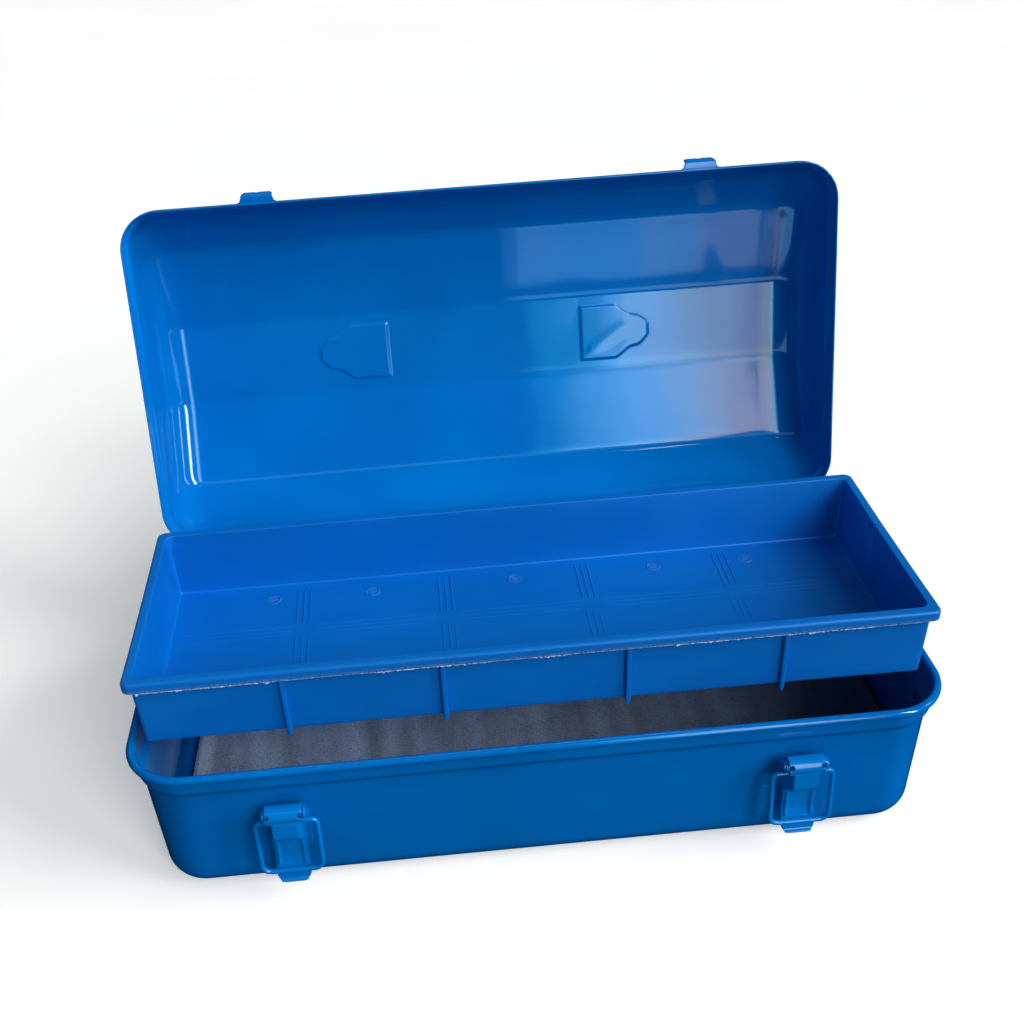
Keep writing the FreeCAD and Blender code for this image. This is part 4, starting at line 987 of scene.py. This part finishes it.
# ---------------------------------------------------------- stage and light
def build_stage():
    me = bpy.data.meshes.new("floor")
    s = 60.0
    me.from_pydata([(-s, -s, 0), (s, -s, 0), (s, s, 0), (-s, s, 0)], [], [(0, 1, 2, 3)])
    me.materials.append(floor_material("pale_floor"))
    ob = bpy.data.objects.new("floor", me)
    bpy.context.scene.collection.objects.link(ob)
    ob.visible_glossy = False
    ob.visible_diffuse = False
    # even room light, paler toward the horizon
    world = bpy.data.worlds.new("studio")
    bpy.context.scene.world = world
    world.use_nodes = True
    t = world.node_tree
    bg = t.nodes["Background"]
    where = t.nodes.new("ShaderNodeTexCoord")
    split = t.nodes.new("ShaderNodeSeparateXYZ")
    t.links.new(where.outputs["Generated"], split.inputs[0])
    band = t.nodes.new("ShaderNodeMath")
    band.operation = "ABSOLUTE"
    t.links.new(split.outputs[2], band.inputs[0])
    ramp = t.nodes.new("ShaderNodeValToRGB")
    e = ramp.color_ramp.elements
    e[0].position, e[0].color = 0.03, (0.80, 0.81, 0.82, 1)
    e[1].position, e[1].color = 0.12, (0.150, 0.160, 0.175, 1)
    t.links.new(band.outputs[0], ramp.inputs[0])
    t.links.new(ramp.outputs[0], bg.inputs[0])
    bg.inputs[1].default_value = 1.0
    world.cycles_visibility.glossy = False

    def toward(az, el):
        az, el = math.radians(az), math.radians(el)
        return Vector((math.sin(az) * math.cos(el), -math.cos(az) * math.cos(el), math.sin(el)))

    def place(name, li, d, dist, target=(0.03, 0.0, 0.12)):
        o = bpy.data.objects.new(name, li)
        o.location = Vector(target) + d * dist
        o.rotation_mode = "QUATERNION"
        o.rotation_quaternion = (-d).to_track_quat("-Z", "Y")
        o.visible_camera = False
        bpy.context.scene.collection.objects.link(o)
        return o

    def soft(name, az, el, strength, wide, colour):
        """A far soft light that shades every surface; az from straight ahead to the right, el up."""
        li = bpy.data.lights.new(name, "SUN")
        li.energy = strength * math.pi
        li.angle = math.radians(wide)
        li.color = colour
        o = place(name, li, toward(az, el), 3.0)
        o.visible_glossy = False

    def card(name, az0, az1, el0, el1, glow, colour, dist=2.2):
        """A rectangle that fills a patch of directions and is seen in the gloss alone."""
        az, el = (az0 + az1) / 2, (el0 + el1) / 2
        w = 2 * dist * math.tan(math.radians(az1 - az0) / 2) * math.cos(math.radians(el))
        h = 2 * dist * math.tan(math.radians(el1 - el0) / 2)
        li = bpy.data.lights.new(name, "AREA")
        li.shape = "RECTANGLE"
        li.size, li.size_y = w, h
        li.energy = glow * w * h * math.pi
        li.color = colour
        o = place(name, li, toward(az, el), dist)
        o.visible_diffuse = False

    # a pale sheet low in front of the lid, seen in the gloss of the upper slope
    for k, (x0, x1, c) in enumerate([(26, 36, (0.35, 0.9, 1.1)), (36, 62, (1.1, 2.3, 2.8)), (62, 120, (0.9, 2.3, 3.4)), (120, 160, (1.7, 2.3, 2.6)), (160, 204, (2.2, 1.6, 1.0))]):
        li = bpy.data.lights.new("reflector_%d" % k, "AREA")
        li.shape = "RECTANGLE"
        li.size, li.size_y = (x1 - x0) * MM, 39 * MM
        top = max(c)
        li.energy = top * li.size * li.size_y * math.pi
        li.color = tuple(v / top for v in c)
        o = bpy.data.objects.new(li.name, li)
        o.matrix_world = Matrix(((1, 0, 0, (x0 + x1) / 2 * MM), (0, 0, -1, 0.0), (0, 1, 0, 0.1105), (0, 0, 0, 1)))
        o.visible_camera = False
        o.visible_diffuse = False
        bpy.context.scene.collection.objects.link(o)

    soft("key_front_right", 28, 34, 0.50, 26, (1.0, 0.99, 0.97))
    soft("key_right", 72, 32, 0.80, 34, (1.0, 0.99, 0.97))
    # the tall window: a strip of narrow panes, cool and dim at its left edge, warm at its right
    low = [(6.2, 8.2, (0.2, 2.2, 2.1)), (8.2, 10.0, (0.5, 2.6, 2.6)), (10.0, 11.2, (2.4, 5.6, 7.0)), (11.2, 13.0, (5.4, 8.2, 8.6)),
           (13.0, 15.2, (6.1, 7.5, 8.2)), (15.2, 17.2, (6.3, 6.4, 5.2)), (17.2, 19.2, (6.3, 5.0, 3.0)), (19.2, 21.0, (5.2, 3.4, 2.2))]
    high = [(6.6, 8.8, (0.2, 1.6, 2.0)), (8.8, 10.2, (0.9, 3.2, 3.6)), (10.2, 12.0, (2.0, 4.6, 5.6)), (12.0, 14.0, (3.0, 6.2, 7.6)),
            (14.0, 16.2, (4.4, 7.4, 9.4)), (16.2, 18.4, (6.4, 7.6, 7.6)), (18.4, 20.6, (8.2, 7.0, 5.4)), (20.6, 23.0, (8.6, 5.4, 3.2))]
    for k, (a0, a1, c) in enumerate(low):
        top = max(c)
        card("window_low_%d" % k, a0, a1, -5, 13, top, tuple(v / top for v in c))
    for k, (a0, a1, c) in enumerate(high):
        top = max(c)
        card("window_high_%d" % k, a0, a1, 13, 46, top, tuple(v / top for v in c))
    card("lamp_near", 43.0, 53.0, 12, 50, 34.0, (0.97, 1.0, 1.0))
    card("lamp_far", 77, 79.5, 6, 32, 18.0, (0.97, 1.0, 1.0))
    card("cove", -70, 34, 48, 58, 1.0, (0.50, 0.90, 1.0))
    card("lamp_high", 29, 33, 61, 66, 14.0, (1.0, 0.99, 0.97))
    card("rear_strip", 150, 210, 62, 72, 5.0, (0.30, 0.85, 1.0))
    card("behind", 150, 210, 22, 56, 0.45, (0.22, 0.85, 1.0))


build_stage()

bpy.context.scene.view_settings.view_transform = "Standard"

cam = bpy.data.cameras.new("camera")
cam.sensor_fit = "HORIZONTAL"
cam.sensor_width = 36.0
cam.lens = 36.0 * 1210.17 / 1024.0
cam.shift_x = (512.0 - 467.30) / 1024.0
cam.shift_y = (476.37 - 512.0) / 1024.0
cam.clip_start, cam.clip_end = 0.01, 50.0
cam_ob = bpy.data.objects.new("camera", cam)
cam_ob.matrix_world = Matrix(((0.995677, 0.085262, -0.036861, -0.04093),
                              (-0.075399, 0.510085, -0.856813, -0.45771),
                              (-0.054251, 0.855887, 0.514309, 0.43093),
                              (0, 0, 0, 1)))
bpy.context.scene.collection.objects.link(cam_ob)
bpy.context.scene.camera = cam_ob
